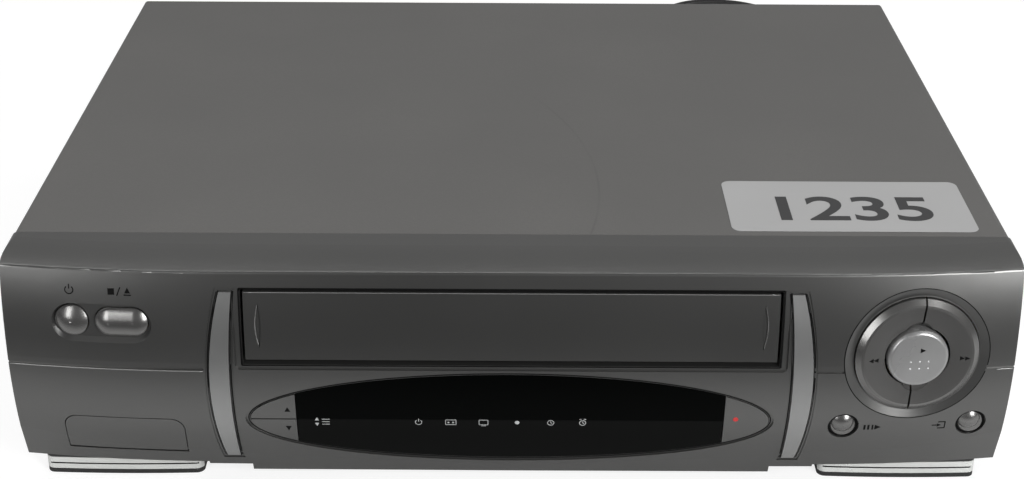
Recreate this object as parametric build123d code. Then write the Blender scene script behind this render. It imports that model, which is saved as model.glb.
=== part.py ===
from build123d import *
import os
from math import acos, asin, atan2, ceil, cos, degrees, hypot, pi, radians, sin, sqrt, tan

# A front-loading VHS video cassette recorder. Millimetres, +Z up.
# Origin: middle of the footprint, on the surface it stands on. The front faces -Y.

# ---- Overall sizes ----
PANEL_WIDTH = 361.0
COVER_WIDTH = PANEL_WIDTH - 1.0
PANEL_TOP = 94.1
COVER_TOP = PANEL_TOP - 0.1
FRONT_Y = -146.0  # most forward point of the front panel
SEAM_Y = -117.0  # joint between front panel and cover
REAR_Y = 141.5  # outer face of the rear panel
JACK_TIP_Y = REAR_Y + 7.5  # tips of the rear sockets
SHEET = 0.8  # steel of the cover
VENTS = 11  # slots in each side of the cover
WALL = 2.4  # wall of the front moulding

# ---- Front moulding ----
BULGE_Z = 56.6  # height where the face stands furthest forward
UPPER_R = 156.0  # side-view arc above the bulge
LOWER_R = 125.0  # side-view arc below it
CROWN_R = 44.0  # roll of the top edge
CROWN_Y = -126.0  # where the flat top starts to roll down
FLAT_HALF = 104.0  # half width of the straight middle
SIDE_SWEEP = 5.396  # how far back the sides sweep by the panel's ends
SIDE_R = ((PANEL_WIDTH / 2 - FLAT_HALF) ** 2 + SIDE_SWEEP**2) / (2 * SIDE_SWEEP)
SKIRT_Z = 4.5  # underside in the middle
SIDE_BOTTOM_Z = 9.0  # underside at the sides
SKIRT_HALF = 96.0
STEP_HALF = 112.0
STEP_Z = 7.8
CORNER_R = 2.0  # upper corners at the two ends
CHIN_TURN = radians(5.0)  # how far the chin facet turns inwards from the curved face
CHIN_MID_Z = 8.8  # height of its upper line in the middle
CHIN_RISE = 13.8  # how much higher that line is at CHIN_REACH
CHIN_REACH = 178.0
CHIN_POWER = 1.4
GAP = 0.3  # around pieces that move
PLAY = 0.05  # radial clearance of a shaft in its bore

# ---- Cassette slot and door ----
SLOT_HALF = 95.5
SLOT_LOW, SLOT_HIGH = 55.8, 84.6
DOOR_HALF = 94.5
DOOR_LOW, DOOR_HIGH = 57.8, 83.8
DOOR_SINK = 0.8
DOOR_THICK = 2.2
DOOR_PIVOT_Z = 86.0
DOOR_PIVOT_Y = FRONT_Y + UPPER_R - sqrt(UPPER_R**2 - (DOOR_PIVOT_Z - BULGE_Z) ** 2) + WALL + 2.4
PIVOT_R = 1.5
CHEEK = 2.0  # side cheeks of the slot
SHELF_THICK = 1.8
SHELF_REAR_Y = -119.0

# ---- Display ----
OVAL_X, OVAL_Z = -0.5, 32.2
OVAL_A, OVAL_B = 94.2, 19.8
WINDOW_LEFT, WINDOW_RIGHT = -77.6, 76.9
LOWER_KEYS_SPLIT_Z = 32.0

# ---- Keys: centre measured from the panel's end, height ----
POWER_IN, POWER_Z, POWER_R = 24.8, 71.7, 5.85
STOP_IN, STOP_Z, STOP_LONG, STOP_HIGH = 42.7, 71.7, 18.8, 10.5
DIAL_IN, DIAL_Z = 36.0, 59.6
DIAL_RING_R, DIAL_SEAT_R, DIAL_R, PLAY_R = 26.0, 23.1, 22.3, 11.0
DIAL_GAP = 0.8  # between the play key and the ring round it
SMALL_KEY_R = 4.35
PAUSE_IN, PAUSE_Z = 59.8, 30.0
INPUT_IN, INPUT_Z = 12.7, 29.6
KEY_TRAVEL = 1.0
SWITCH_TIP_Y = -129.0
BOARD_FRONT_Y = -124.0
BOARD_THICK = 1.6

# ---- Front socket flap ----
FLAP_IN_LEFT, FLAP_IN_RIGHT = 17.5, 61.5
FLAP_LOW, FLAP_HIGH = 15.6, 31.4
FLAP_THICK = 2.0
JACK_R, JACK_COLLAR_R = 4.15, 5.0  # phono sockets and the collars behind them
FLAP_PIN_R = 0.9
FLAP_AXIS = 1.2  # hinge axis behind the face and above the flap's lower edge
FLAP_SWEEP_R = 2.1  # room for the flap's lower edge as it swings

# ---- Chassis ----
FLOOR_Z = 9.0  # upper face of the bottom plate
FLOOR_THICK = 1.0
FLANGE_TOP = 21.0
BOARD_Z = 13.0  # underside of the main and power boards
FOOT_IN, FOOT_LONG, FOOT_DEEP = 35.5, 59.0, 22.0
FOOT_FRONT_Y = -130.6

# ---- Tape deck ----
DECK_Z = 24.0
DECK_THICK = 1.2
DECK_TOP = DECK_Z + DECK_THICK
DECK_HALF = 99.5
DECK_FRONT_Y, DECK_REAR_Y = -113.0, 100.0
REEL_X, REEL_Y, REEL_R = 46.0, -59.0, 17.0
DRUM_Y, DRUM_R = 38.0, 31.0
DRUM_LEAN = 5.97  # degrees
CAPSTAN_X, CAPSTAN_Y, CAPSTAN_R = 66.0, 8.0, 1.5
TRACK_R = 61.3  # arc along which a guide post runs
TRACK_X, TRACK_Y = 11.0, 25.0  # centre of that arc, mirrored for the other side
TRACK_SWEEP = 79.0  # degrees

# ---- Cassette carriage ----
TRAY_Z = 56.2  # surface that the cassette lies on
CASSETTE_HIGH = 25.0
TRAY_HALF = 94.3  # inside half width
TRAY_SHEET = 1.0
TRAY_FRONT_Y, TRAY_REAR_Y = -108.5, -70.0
LEDGE_FRONT_Y = -116.0
CARRIAGE_IN = 66.0
CARRIAGE_DOWN = 22.0
SLIDE_SHEET = 1.2
SLIDE_GAP = 0.6
PINION_TEETH, MODULE = 20, 1.0
PINION_Y, PINION_Z = -47.0, 37.0

# ---- Mains lead ----
LEAD_D = 6.0
GLAND_IN, GLAND_Z = 40.0, 24.0
GLAND_OUT = 27.0
COIL_X, COIL_Y = 128.2, 338.0
COIL_MID_R = 35.0
COIL_WIDE, COIL_HIGH = 18.0, 16.4

NODES = {}


# ---- Small helpers ----
def block(x0, x1, y0, y1, z0, z1):
    """Box between two corners."""
    return Pos((x0 + x1) / 2, (y0 + y1) / 2, (z0 + z1) / 2) * Box(x1 - x0, y1 - y0, z1 - z0)


def post(radius, x, y, z0, z1):
    """Upright cylinder."""
    return Pos(x, y, (z0 + z1) / 2) * Cylinder(radius, z1 - z0)


def rod_x(radius, x0, x1, y, z):
    return Pos((x0 + x1) / 2, y, z) * Rot(0, 90, 0) * Cylinder(radius, x1 - x0)


def rod_y(radius, x, z, y0, y1):
    return Pos(x, (y0 + y1) / 2, z) * Rot(90, 0, 0) * Cylinder(radius, y1 - y0)


def through(outline, y0=-170.0, y1=-100.0):
    """An outline drawn in X and Z, carried from y0 to y1."""
    return extrude(Plane.XZ.offset(-y1) * outline, y1 - y0)


def seen_from_side(x, outline):
    """An outline drawn in Y and Z, stood up at x."""
    return Pos(x, 0, 0) * (Plane.YZ * outline)


def both_sides(shape):
    """A shape and its mirror image across the middle."""
    return shape + mirror(shape, Plane.YZ)


def from_left(distance):
    return -PANEL_WIDTH / 2 + distance


def from_right(distance):
    return PANEL_WIDTH / 2 - distance


# ---- Face of the front moulding ----
def upper_crossing(centre_a, radius_a, centre_b, radius_b):
    """Where two circles in (y, z) cross, the higher of the two."""
    gap = centre_b - centre_a
    along = (radius_a**2 - radius_b**2 + gap.length**2) / (2 * gap.length)
    off = sqrt(radius_a**2 - along**2)
    unit = gap / gap.length
    side = Vector(-unit.Y, unit.X)
    return max((centre_a + unit * along + side * off * sign for sign in (1, -1)), key=lambda p: p.Y)


def forward_point(centre, radius, z):
    """The point of a circle in (y, z) at height z, on its forward half."""
    return Vector(centre.X - sqrt(radius**2 - (z - centre.Y) ** 2), z)


def profile(inset, bottom):
    """Side view of the moulding, set in by inset and open at the back."""
    upper, lower = Vector(FRONT_Y + UPPER_R, BULGE_Z), Vector(FRONT_Y + LOWER_R, BULGE_Z)
    crown = Vector(CROWN_Y, PANEL_TOP - CROWN_R)
    back = -100.0
    top = PANEL_TOP - inset
    corner = upper_crossing(crown, CROWN_R - inset, upper, UPPER_R - inset)
    nose = Vector(FRONT_Y + inset, BULGE_Z)
    foot = forward_point(lower, LOWER_R - inset, bottom)
    crown_y = (corner.X + CROWN_Y) / 2
    crown_mid = Vector(crown_y, crown.Y + sqrt((CROWN_R - inset) ** 2 - (crown_y - crown.X) ** 2))
    outline = [
        Line(Vector(back, bottom), foot),
        ThreePointArc(foot, forward_point(lower, LOWER_R - inset, (bottom + BULGE_Z) / 2), nose),
        ThreePointArc(nose, forward_point(upper, UPPER_R - inset, (corner.Y + BULGE_Z) / 2), corner),
        ThreePointArc(corner, crown_mid, Vector(CROWN_Y, top)),
        Line(Vector(CROWN_Y, top), Vector(back, top)),
        Line(Vector(back, top), Vector(back, bottom)),
    ]
    face = make_face(outline)
    if inset:
        return face
    edge = face.vertices().sort_by_distance((corner.X, corner.Y, 0))[0]
    return fillet(edge, 1.2)


def bulged_block(inset=0.0):
    """The solid inside the moulding's face: straight in the middle, swept back at the sides."""
    section = Plane.YZ * profile(inset, SKIRT_Z + inset)
    middle = extrude(Pos(-FLAT_HALF, 0, 0) * section, 2 * FLAT_HALF)
    turn = Axis((FLAT_HALF, FRONT_Y + SIDE_R, 0), (0, 0, 1))
    sweep = degrees(asin((PANEL_WIDTH / 2 + 4 - FLAT_HALF) / SIDE_R))
    side = revolve(Pos(FLAT_HALF, 0, 0) * section, turn, sweep)
    whole = middle + side + mirror(side, Plane.YZ)
    half = PANEL_WIDTH / 2 - inset
    whole = whole & block(-half, half, FRONT_Y - 10, SEAM_Y + inset, 0, PANEL_TOP + 1)
    for low, reach in ((SIDE_BOTTOM_Z, STEP_HALF), (STEP_Z, SKIRT_HALF)):
        whole -= both_sides(block(reach - inset, half + 9, FRONT_Y - 10, 0, -1, low + inset))
    return whole


def crease_z(x):
    """Height of the line where the chin facet starts."""
    return CHIN_MID_Z + CHIN_RISE * (abs(x) / CHIN_REACH) ** CHIN_POWER


def chin_lean(x):
    """How far the chin facet leans from upright."""
    return asin((BULGE_Z - crease_z(x)) / LOWER_R) + CHIN_TURN


def face_y(x, z):
    """Where the front face is at (x, z)."""
    over = max(abs(x) - FLAT_HALF, 0.0)
    swept = SIDE_R - sqrt(SIDE_R**2 - over**2)
    radius = UPPER_R if z > BULGE_Z else LOWER_R
    arc_z = max(z, crease_z(x))
    arc = radius - sqrt(radius**2 - (arc_z - BULGE_Z) ** 2)
    return FRONT_Y + swept + arc + (arc_z - z) * tan(chin_lean(x))


def chin_cut():
    """What the chin facet takes off: its upper edge follows crease_z across the face."""
    reach = PANEL_WIDTH / 2 + 12
    up, down = 9.0, 40.0
    sections = []
    for step in range(-6, 7):
        x = reach * step / 6
        z = crease_z(x)
        y = face_y(x, z)
        lean = chin_lean(x)
        high = Vector(x, y - up * sin(lean), z + up * cos(lean))
        low = Vector(x, y + down * sin(lean), z - down * cos(lean))
        corner = Vector(x, high.Y - 12, low.Z)
        sections.append(Wire.make_polygon([high, low, corner], close=True))
    return Solid.make_loft(sections)


def end_view():
    """The moulding seen from the front, with its two upper corners rounded."""
    half = PANEL_WIDTH / 2
    outline = area(-half, half, 0, PANEL_TOP)
    return fillet(outline.vertices().group_by(Axis.Y)[-1], CORNER_R)


def area(x0, x1, z0, z1):
    return Pos((x0 + x1) / 2, (z0 + z1) / 2) * Rectangle(x1 - x0, z1 - z0)


FACE = (bulged_block() - chin_cut()) & through(end_view(), FRONT_Y - 10, SEAM_Y)


def face_layer(outline, sink, thick):
    """A plate that follows the face: sink behind it, thick from front to back."""
    column = through(outline)
    return column & (Pos(0, sink, 0) * FACE) - Pos(0, sink + thick, 0) * FACE


def face_recess(outline, depth):
    """A tool that lowers the face by depth inside an outline."""
    return through(outline, y1=SEAM_Y - 8) - Pos(0, depth, 0) * FACE


def oval(grow=0.0):
    return Pos(OVAL_X, OVAL_Z) * Ellipse(OVAL_A + grow, OVAL_B + grow)


def strip_outline(side, grow=0.0):
    """Silver strip beside the door, bowed outwards like a bracket."""
    top, low = 84.0 + grow, 13.3 - grow
    outer = ThreePointArc((102.8 + grow, top), (107.8 + grow, 50.0), (104.5 + grow, low))
    inner = ThreePointArc((98.5 - grow, top), (100.7 - grow, 50.0), (99.8 - grow, low))
    ends = [Line(outer @ 0, inner @ 0), Line(outer @ 1, inner @ 1)]
    strip = make_face([outer, inner, *ends])
    return strip if side > 0 else mirror(strip, Plane.YZ)


def flap_outline(grow=0.0):
    x0, x1 = from_left(FLAP_IN_LEFT) - grow, from_left(FLAP_IN_RIGHT) + grow
    shape = area(x0, x1, FLAP_LOW - grow, FLAP_HIGH + grow)
    return fillet(shape.vertices().group_by(Axis.Y)[-1], 5.0)


KEYS = {
    "power_button": Pos(from_left(POWER_IN), POWER_Z) * Circle(POWER_R),
    "stop_eject_button": Pos(from_left(STOP_IN), STOP_Z) * SlotOverall(STOP_LONG, STOP_HIGH),
    "pause_button": Pos(from_right(PAUSE_IN), PAUSE_Z) * Circle(SMALL_KEY_R),
    "input_select_button": Pos(from_right(INPUT_IN), INPUT_Z) * Circle(SMALL_KEY_R),
}
DOMES = {  # half length of the dome's straight middle, its radius, how far it stands out
    "power_button": (0.0, POWER_R, 0.9),
    "stop_eject_button": ((STOP_LONG - STOP_HIGH) / 2, STOP_HIGH / 2, 0.9),
    "pause_button": (0.0, SMALL_KEY_R, 0.3),
    "input_select_button": (0.0, SMALL_KEY_R, 0.3),
}
DOME_HIGH = 1.8


def dial(radius):
    return Pos(from_right(DIAL_IN), DIAL_Z) * Circle(radius)


def touching_plane(x, z):
    """Plane that touches the face at (x, z), facing outwards, with its x running along the face."""
    step = 0.5
    along = Vector(2 * step, face_y(x + step, z) - face_y(x - step, z), 0)
    up = Vector(0, face_y(x, z + step) - face_y(x, z - step), 2 * step)
    return Plane(origin=(x, face_y(x, z), z), x_dir=along, z_dir=along.cross(up))


def key_recess():
    """The shared hollow around the power and stop keys: its lower wall slopes up to the keys."""
    place = touching_plane(from_left(35.5), 71.7)
    deep, over = 1.6, 0.8
    widths, heights, lifts = (34.4, 36.2), (12.3, 15.0), (0.1, -0.6)
    grow = 1 + over / deep
    outer = [low + (high - low) * grow for low, high in (widths, heights, lifts)]
    floor = Pos(0, lifts[0], -deep) * SlotOverall(widths[0], heights[0])
    mouth = Pos(0, outer[2], over) * SlotOverall(outer[0], outer[1])
    return place * loft([floor, mouth], ruled=True)


def ring_cut(shallow, deep):
    """What a sloping ring around the dial takes off, between two pairs of radius and depth below the face."""
    x, z = from_right(DIAL_IN), DIAL_Z
    halves = []
    for start in (0, 180):
        sections = []
        for step in range(13):
            turn = radians(start + step * 15)
            corners = []
            for radius, depth in (shallow, deep, (deep[0], -3.5)):
                px, pz = x + radius * cos(turn), z + radius * sin(turn)
                corners.append(Vector(px, face_y(px, pz) + depth, pz))
            sections.append(Wire.make_polygon(corners, close=True))
        halves.append(Solid.make_loft(sections))
    return halves


# ---- Front panel ----
def front_panel():
    """Moulded front: curved shell with its openings, hollows and the parts it carries."""
    half = PANEL_WIDTH / 2
    shell = FACE - bulged_block(WALL)
    door_frame = Pos(0, 69.8) * RectangleRounded(196.6, 31.6, 2.0)
    shell -= face_recess(door_frame, 0.8)
    shell -= face_recess(oval(1.5), 0.8)
    shell -= key_recess()
    for cut in ring_cut((DIAL_RING_R + 0.4, -0.2), (DIAL_SEAT_R, 1.3)):
        shell -= cut
    shell -= face_recess(dial(DIAL_SEAT_R + 0.05) - dial(DIAL_R - 1.0), 1.3)
    for name in ("pause_button", "input_select_button"):
        shell -= face_recess(offset(KEYS[name], 1.3), 0.9)
    for side in (1, -1):
        shell -= face_recess(strip_outline(side, 1.5), 0.4)
        shell -= face_recess(strip_outline(side, 0.45), 1.6)
    for x0, x1 in ((-half - 1, -109.8), (107.4, half + 1)):
        shell -= face_recess(area(x0, x1, 53.6, 54.4) - dial(DIAL_RING_R), 0.7)
    shell -= through(area(-SLOT_HALF, SLOT_HALF, SLOT_LOW, SLOT_HIGH))
    shell -= through(oval(), y1=SEAM_Y)
    shell -= through(dial(DIAL_R + 0.4))
    shell -= through(flap_outline(GAP))
    for outline in KEYS.values():
        shell -= through(offset(outline, GAP))

    # Slot cheeks, shelf and the door's pivot holes.
    inner_y = FRONT_Y + WALL
    shelf_low = SLOT_LOW - SHELF_THICK
    cheek = block(SLOT_HALF, SLOT_HALF + CHEEK, inner_y - 1, SHELF_REAR_Y, shelf_low, PANEL_TOP - 4)
    shelf = block(-SLOT_HALF, SLOT_HALF, inner_y - 1, SHELF_REAR_Y, SLOT_LOW - SHELF_THICK, SLOT_LOW)
    guide = (both_sides(cheek) + shelf) & Pos(0, 1.2, 0) * FACE
    guide -= rod_x(PIVOT_R + PLAY, -half, half, DOOR_PIVOT_Y, DOOR_PIVOT_Z)
    shell += guide

    # Flap cheeks with the hinge holes, and the plate behind the flap.
    x0, x1 = from_left(FLAP_IN_LEFT) - GAP, from_left(FLAP_IN_RIGHT) + GAP
    pocket = block(x0 - 1.8, x1 + 1.8, FRONT_Y, -126.2, SIDE_BOTTOM_Z + WALL, FLAP_HIGH + 2.4)
    pocket -= block(x0, x1, FRONT_Y - 1, -127.8, FLAP_LOW - GAP - 0.4, FLAP_HIGH + GAP + 0.4)
    shell += pocket & Pos(0, 1.2, 0) * FACE
    shell -= flap_axis_rod(FLAP_PIN_R + PLAY, 3.4) + flap_axis_rod(FLAP_SWEEP_R, 2 * GAP)
    for x in jack_places():
        shell -= rod_y(JACK_COLLAR_R + 0.2, x, 23.0, -130, -120)

    # Tongues under the cover, feet on the bottom plate, and posts for the key board.
    for x in (-half * 0.75, 0.0, half * 0.75):
        shell += block(x - 9, x + 9, SEAM_Y - 4, SEAM_Y + 6, PANEL_TOP - 3.6, PANEL_TOP - 1.0)
    for side in (-1, 1):
        x = side * (half - 72)
        shell += block(x - 9, x + 9, SEAM_Y - 6, SEAM_Y + 8, FLOOR_Z + 0.05, SIDE_BOTTOM_Z + WALL + 0.4)
    for x, z in board_posts():
        shell += block(x - 2, x + 2, face_y(x, z) + 1.2, BOARD_FRONT_Y, z - 2, z + 2)
    return shell


def jack_places():
    middle = from_left((FLAP_IN_LEFT + FLAP_IN_RIGHT) / 2)
    return [middle + step * 14.0 for step in (-1, 0, 1)]


def board_posts():
    half = PANEL_WIDTH / 2
    at_ends = [(side * (half - 8.0), z) for side in (-1, 1) for z in (40.0, 86.0)]
    return at_ends + [(-86.0, 50.4), (86.0, 50.4)]


def flap_axis_ends():
    """The flap's hinge line: it follows the face from one end of the flap to the other."""
    z = FLAP_LOW + FLAP_AXIS
    x0, x1 = from_left(FLAP_IN_LEFT), from_left(FLAP_IN_RIGHT)
    return [Vector(x, face_y(x, z) + FLAP_AXIS, z) for x in (x0, x1)]


def flap_axis_rod(radius, extra):
    start, end = flap_axis_ends()
    along = (end - start).normalized()
    base = Plane(origin=start - along * extra / 2, z_dir=along)
    return extrude(base * Circle(radius), (end - start).length + extra)


def cassette_door():
    """Door plate with two thumb crescents, ears and pivot pins at its upper edge."""
    door = face_layer(area(-DOOR_HALF, DOOR_HALF, DOOR_LOW, DOOR_HIGH), DOOR_SINK, DOOR_THICK)
    crescent = make_face([
        ThreePointArc((89.4, 62.5), (90.6, 71.0), (89.4, 79.5)),
        ThreePointArc((89.4, 79.5), (88.6, 71.0), (89.4, 62.5)),
    ])
    tool = through(crescent) - Pos(0, DOOR_SINK + 0.6, 0) * FACE
    y, z = DOOR_PIVOT_Y, DOOR_PIVOT_Z
    corners = [(-4.0, -9.5), (-3.8, -6.0), (-2.8, -2.3), (-1.8, 0.0), (2.0, 0.0), (0.0, -9.5)]
    ear_side = make_face(Polyline(*[(y + dy, z + dz) for dy, dz in corners], close=True))
    ear_side += Pos(y, z) * Circle(2.0)
    ear = extrude(seen_from_side(DOOR_HALF - 3, ear_side), 2.7)
    pin = rod_x(PIVOT_R, DOOR_HALF - 10, SLOT_HALF + CHEEK - 0.2, y, z)
    back = FRONT_Y + DOOR_SINK + DOOR_THICK
    rib = block(-DOOR_HALF + 4, DOOR_HALF - 4, back - 0.5, back + 1.4, DOOR_LOW + 1.0, DOOR_LOW + 2.4)
    return door - both_sides(tool) + both_sides(ear) + both_sides(pin) + rib


def door_spring():
    """Closely wound torsion spring on the left pivot pin, with a leg along the back of the door."""
    y, z = DOOR_PIVOT_Y, DOOR_PIVOT_Z
    x0, x1 = -DOOR_HALF + 3.3, -DOOR_HALF + 9.6
    leg = block(x1 - 0.7, x1, y - 2.2, y - 1.5, z - 11.0, z)
    return rod_x(2.3, x0, x1, y, z) + leg - rod_x(PIVOT_R + PLAY, x0 - 1, x1 + 1, y, z)


def key_back(x, z, reach, high):
    """Bar behind the wall that keeps a key in, and the stem that presses its switch."""
    corners = [(x + side * reach, z + end * high / 2) for side in (-1, 1) for end in (-1, 1)]
    wall_back = max(face_y(*corner) for corner in corners) + WALL + 0.5
    bar = block(x - reach, x + reach, wall_back, wall_back + 1.2, z - high / 2, z + high / 2)
    stem = block(x - 1.6, x + 1.6, wall_back, SWITCH_TIP_Y - KEY_TRAVEL - 0.3, z - 1.6, z + 1.6)
    return bar + stem


def key(outline, dome, x, z, reach):
    """Domed key cap with its bar and stem."""
    straight, radius, proud = dome
    ball_r = (radius**2 + DOME_HIGH**2) / (2 * DOME_HIGH)
    middle = touching_plane(x, z) * Pos(0, 0, proud - ball_r)
    ball = middle * Sphere(ball_r)
    if straight:
        ball = middle * (Pos(straight, 0, 0) * Sphere(ball_r) + Pos(-straight, 0, 0) * Sphere(ball_r))
        ball += middle * Rot(0, 90, 0) * Cylinder(ball_r, 2 * straight)
    column = through(outline, y1=SEAM_Y) - Pos(0, WALL + 0.9, 0) * FACE
    back = column & through(offset(outline, 1.0), face_y(x, z) + 1.2, SEAM_Y)
    return (column & ball) + back + key_back(x, z, reach, 5.0)


def dial_plane():
    """Plane touching the face at the middle of the dial, facing outwards."""
    x, z = from_right(DIAL_IN), DIAL_Z
    lean = asin((x - FLAT_HALF) / SIDE_R)
    middle = (x, face_y(x, z), z)
    return Plane(origin=middle, x_dir=(cos(lean), sin(lean), 0), z_dir=(sin(lean), -cos(lean), 0))


def winding_key(side):
    """Half ring around the play key: rewind on the left, fast forward on the right."""
    x, z = from_right(DIAL_IN), DIAL_Z
    lean = Pos(x, z) * Rot(0, 0, -4)
    half = lean * Pos(side * 40.35, 0) * Rectangle(80, 80)
    half_ring = (dial(DIAL_R) - dial(PLAY_R + DIAL_GAP)) & half
    body = face_layer(half_ring, -0.9, 0.9 + WALL + 1.4)
    for cut in (*ring_cut((20.0, -1.1), (DIAL_R + 0.5, 0.7)), *ring_cut((19.9, -1.0), (PLAY_R - 0.6, 0.7))):
        body -= cut
    for end in (-1, 1):
        body -= dial_plane() * Pos(0, end * 8.4, 2.3) * Sphere(6.3)
    middle = x + side * 16.5
    bar_x0, bar_x1 = sorted((x + side * 13.0, x + side * (DIAL_R + 1.6)))
    wall_back = max(face_y(bar_x0, z), face_y(bar_x1, z)) + WALL + 0.3
    bar = block(bar_x0, bar_x1, wall_back, wall_back + 1.2, z - 3, z + 3)
    stem = block(middle - 1.6, middle + 1.6, wall_back, SWITCH_TIP_Y - KEY_TRAVEL - 0.3, z - 1.6, z + 1.6)
    return body + bar + stem


def play_button():
    """Round key in the middle of the dial, with a rounded edge."""
    x, z = from_right(DIAL_IN), DIAL_Z
    proud, deep = 1.5, 7.2
    cap = dial_plane() * Pos(0, 0, (proud - deep) / 2) * Cylinder(PLAY_R, proud + deep)
    cap = fillet(cap.edges().filter_by(GeomType.CIRCLE).sort_by(Axis.Y)[0], 1.5)
    stem = block(x - 1.6, x + 1.6, face_y(x, z) + 6.0, SWITCH_TIP_Y - KEY_TRAVEL - 0.3, z - 1.6, z + 1.6)
    return cap + stem


def oval_key(x0, x1, z0, z1, stem_x, stem_z):
    """Key that fills an end of the oval beside the display window."""
    cap = face_layer(oval(-GAP) & area(x0, x1, z0, z1), 0.3, WALL + 1.0)
    start = face_y(stem_x, stem_z) + 2.0
    stop = SWITCH_TIP_Y - KEY_TRAVEL - 0.3
    return cap + block(stem_x - 1.6, stem_x + 1.6, start, stop, stem_z - 1.6, stem_z + 1.6)


def display_window():
    """Smoked window that fills the middle of the oval, with a rim behind the wall."""
    outline = oval(-0.1) & area(WINDOW_LEFT, WINDOW_RIGHT, 0, 60)
    pane = face_layer(outline, 0.6, WALL + 0.4)
    rim = face_layer(oval(1.4) & area(WINDOW_LEFT, WINDOW_RIGHT, 0, 60), WALL + 0.5, 1.0)
    return pane + rim


SWITCHES = []


def switch_at(x, z):
    SWITCHES.append((x, z))
    return x, z


def front_controls():
    """Every piece that the front panel carries."""
    NODES["front_panel"] = front_panel()
    NODES["cassette_door"] = cassette_door()
    NODES["door_spring"] = door_spring()
    NODES["left_trim_strip"] = face_layer(strip_outline(-1), -0.2, 1.75)
    NODES["right_trim_strip"] = face_layer(strip_outline(1), -0.2, 1.75)
    NODES["display_window"] = display_window()
    for name, outline in KEYS.items():
        x, z = outline.center().X, outline.center().Y
        reach = outline.bounding_box().size.X / 2 + 1.2
        NODES[name] = key(outline, DOMES[name], *switch_at(x, z), reach)
    x = from_right(DIAL_IN)
    NODES["rewind_button"] = winding_key(-1)
    NODES["fast_forward_button"] = winding_key(1)
    NODES["play_button"] = play_button()
    for place in (x - 16.5, x, x + 16.5):
        switch_at(place, DIAL_Z)
    left, right = WINDOW_LEFT - GAP, WINDOW_RIGHT + GAP
    split = LOWER_KEYS_SPLIT_Z
    NODES["channel_up_button"] = oval_key(-120, left, split + 0.25, 80, *switch_at(-83.5, split + 4.2))
    NODES["channel_down_button"] = oval_key(-120, left, 0, split - 0.25, *switch_at(-83.5, split - 4.2))
    NODES["record_button"] = oval_key(right, 120, 0, 80, *switch_at(83.5, split))
    NODES["av_flap"] = av_flap()


def av_flap():
    """Flap over the front sockets, hinged on two pins along its lower edge."""
    plate = face_layer(flap_outline(), 0.0, FLAP_THICK)
    return plate + flap_axis_rod(FLAP_PIN_R, 3.0)


def front_boards():
    """Key board with its switches, the display tube and the front sockets."""
    y0, y1 = BOARD_FRONT_Y, BOARD_FRONT_Y + BOARD_THICK
    half = PANEL_WIDTH / 2 - 5
    board = block(-half, half, y0, y1, 12.5, 51.5)
    jacks = jack_places()
    board -= block(jacks[0] - 10, jacks[2] + 10, y0 - 1, y1 + 1, 8, 35)
    upper_boards = [block(*ends, y0, y1, 51.6, 88) for ends in ((-half, -105.5), (105.5, half))]
    switches = []
    for x, z in SWITCHES:
        body = block(x - 3, x + 3, y0 - 3.5, y0, z - 3, z + 3)
        switches.append(body + block(x - 1.5, x + 1.5, SWITCH_TIP_Y, y0 - 3.5, z - 1.5, z + 1.5))
    NODES["key_board"] = Compound(children=[board, *upper_boards, *switches])
    holder = block(-66, 66, y0 - 5, y0, 17.5, 46.5) - block(-62, 62, y0 - 6, y0 - 2, 20.5, 43.5)
    tube = block(-62, 62, y0 - 8.5, y0 - 2, 20.5, 43.5)
    tube = chamfer(tube.edges().filter_by(Axis.X).group_by(Axis.Y)[0], 1.0)
    NODES["display_tube"] = Compound(children=[holder, tube])
    housing = block(jacks[0] - 8, jacks[2] + 8, -126, -112, 15.8, 30.2)
    housing += block(jacks[0] - 8, jacks[2] + 8, SEAM_Y + 0.1, -112, FLOOR_Z, 15.8)
    for x in jacks:
        housing += rod_y(JACK_R, x, 23.0, -134.2, -126) + rod_y(JACK_COLLAR_R, x, 23.0, -128, -126)
        housing -= rod_y(1.7, x, 23.0, -135, -126)
    NODES["front_sockets"] = housing


# ---- Casing ----
def top_cover():
    """Folded steel cover: top, two sides with vents, and lips over the rear panel."""
    half = COVER_WIDTH / 2
    rear = REAR_Y + 0.1 + SHEET
    outline = area(-half, half, FLOOR_Z + 0.6, COVER_TOP)
    outline = fillet(outline.vertices().group_by(Axis.Y)[-1], 2.0)
    hollow = area(-half + SHEET, half - SHEET, 0, COVER_TOP - SHEET)
    hollow = fillet(hollow.vertices().group_by(Axis.Y)[-1], 1.2)
    front = SEAM_Y + 0.3
    cover = through(outline, front, rear) - through(hollow, front - 1, rear - SHEET)
    lip = 9.0
    cover -= through(area(-half + lip, half - lip, 0, COVER_TOP - lip), rear - 2 * SHEET, rear + 1)
    for step in range(VENTS):
        y = 18.0 + 9.0 * step
        cover -= both_sides(block(half - 3, half + 3, y, y + 3, 36, 64))
    for y in side_screw_places():
        cover -= rod_x(1.7, -half - 1, half + 1, y, 16.0)
    for x in rear_screw_places():
        cover -= rod_y(1.7, x, COVER_TOP - lip / 2, rear - 3, rear + 1)
    return cover


def side_screw_places():
    return (-70.0, REAR_Y - 27)


def rear_screw_places():
    return (-PANEL_WIDTH / 2 + 22, 0.0, PANEL_WIDTH / 2 - 22)


def screw():
    """Cheese-head screw along +Z, with the seat of its head at the origin."""
    return Pos(0, 0, 0.9) * Cylinder(3.2, 1.8) + Pos(0, 0, -1.75) * Cylinder(1.5, 3.5)


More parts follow.
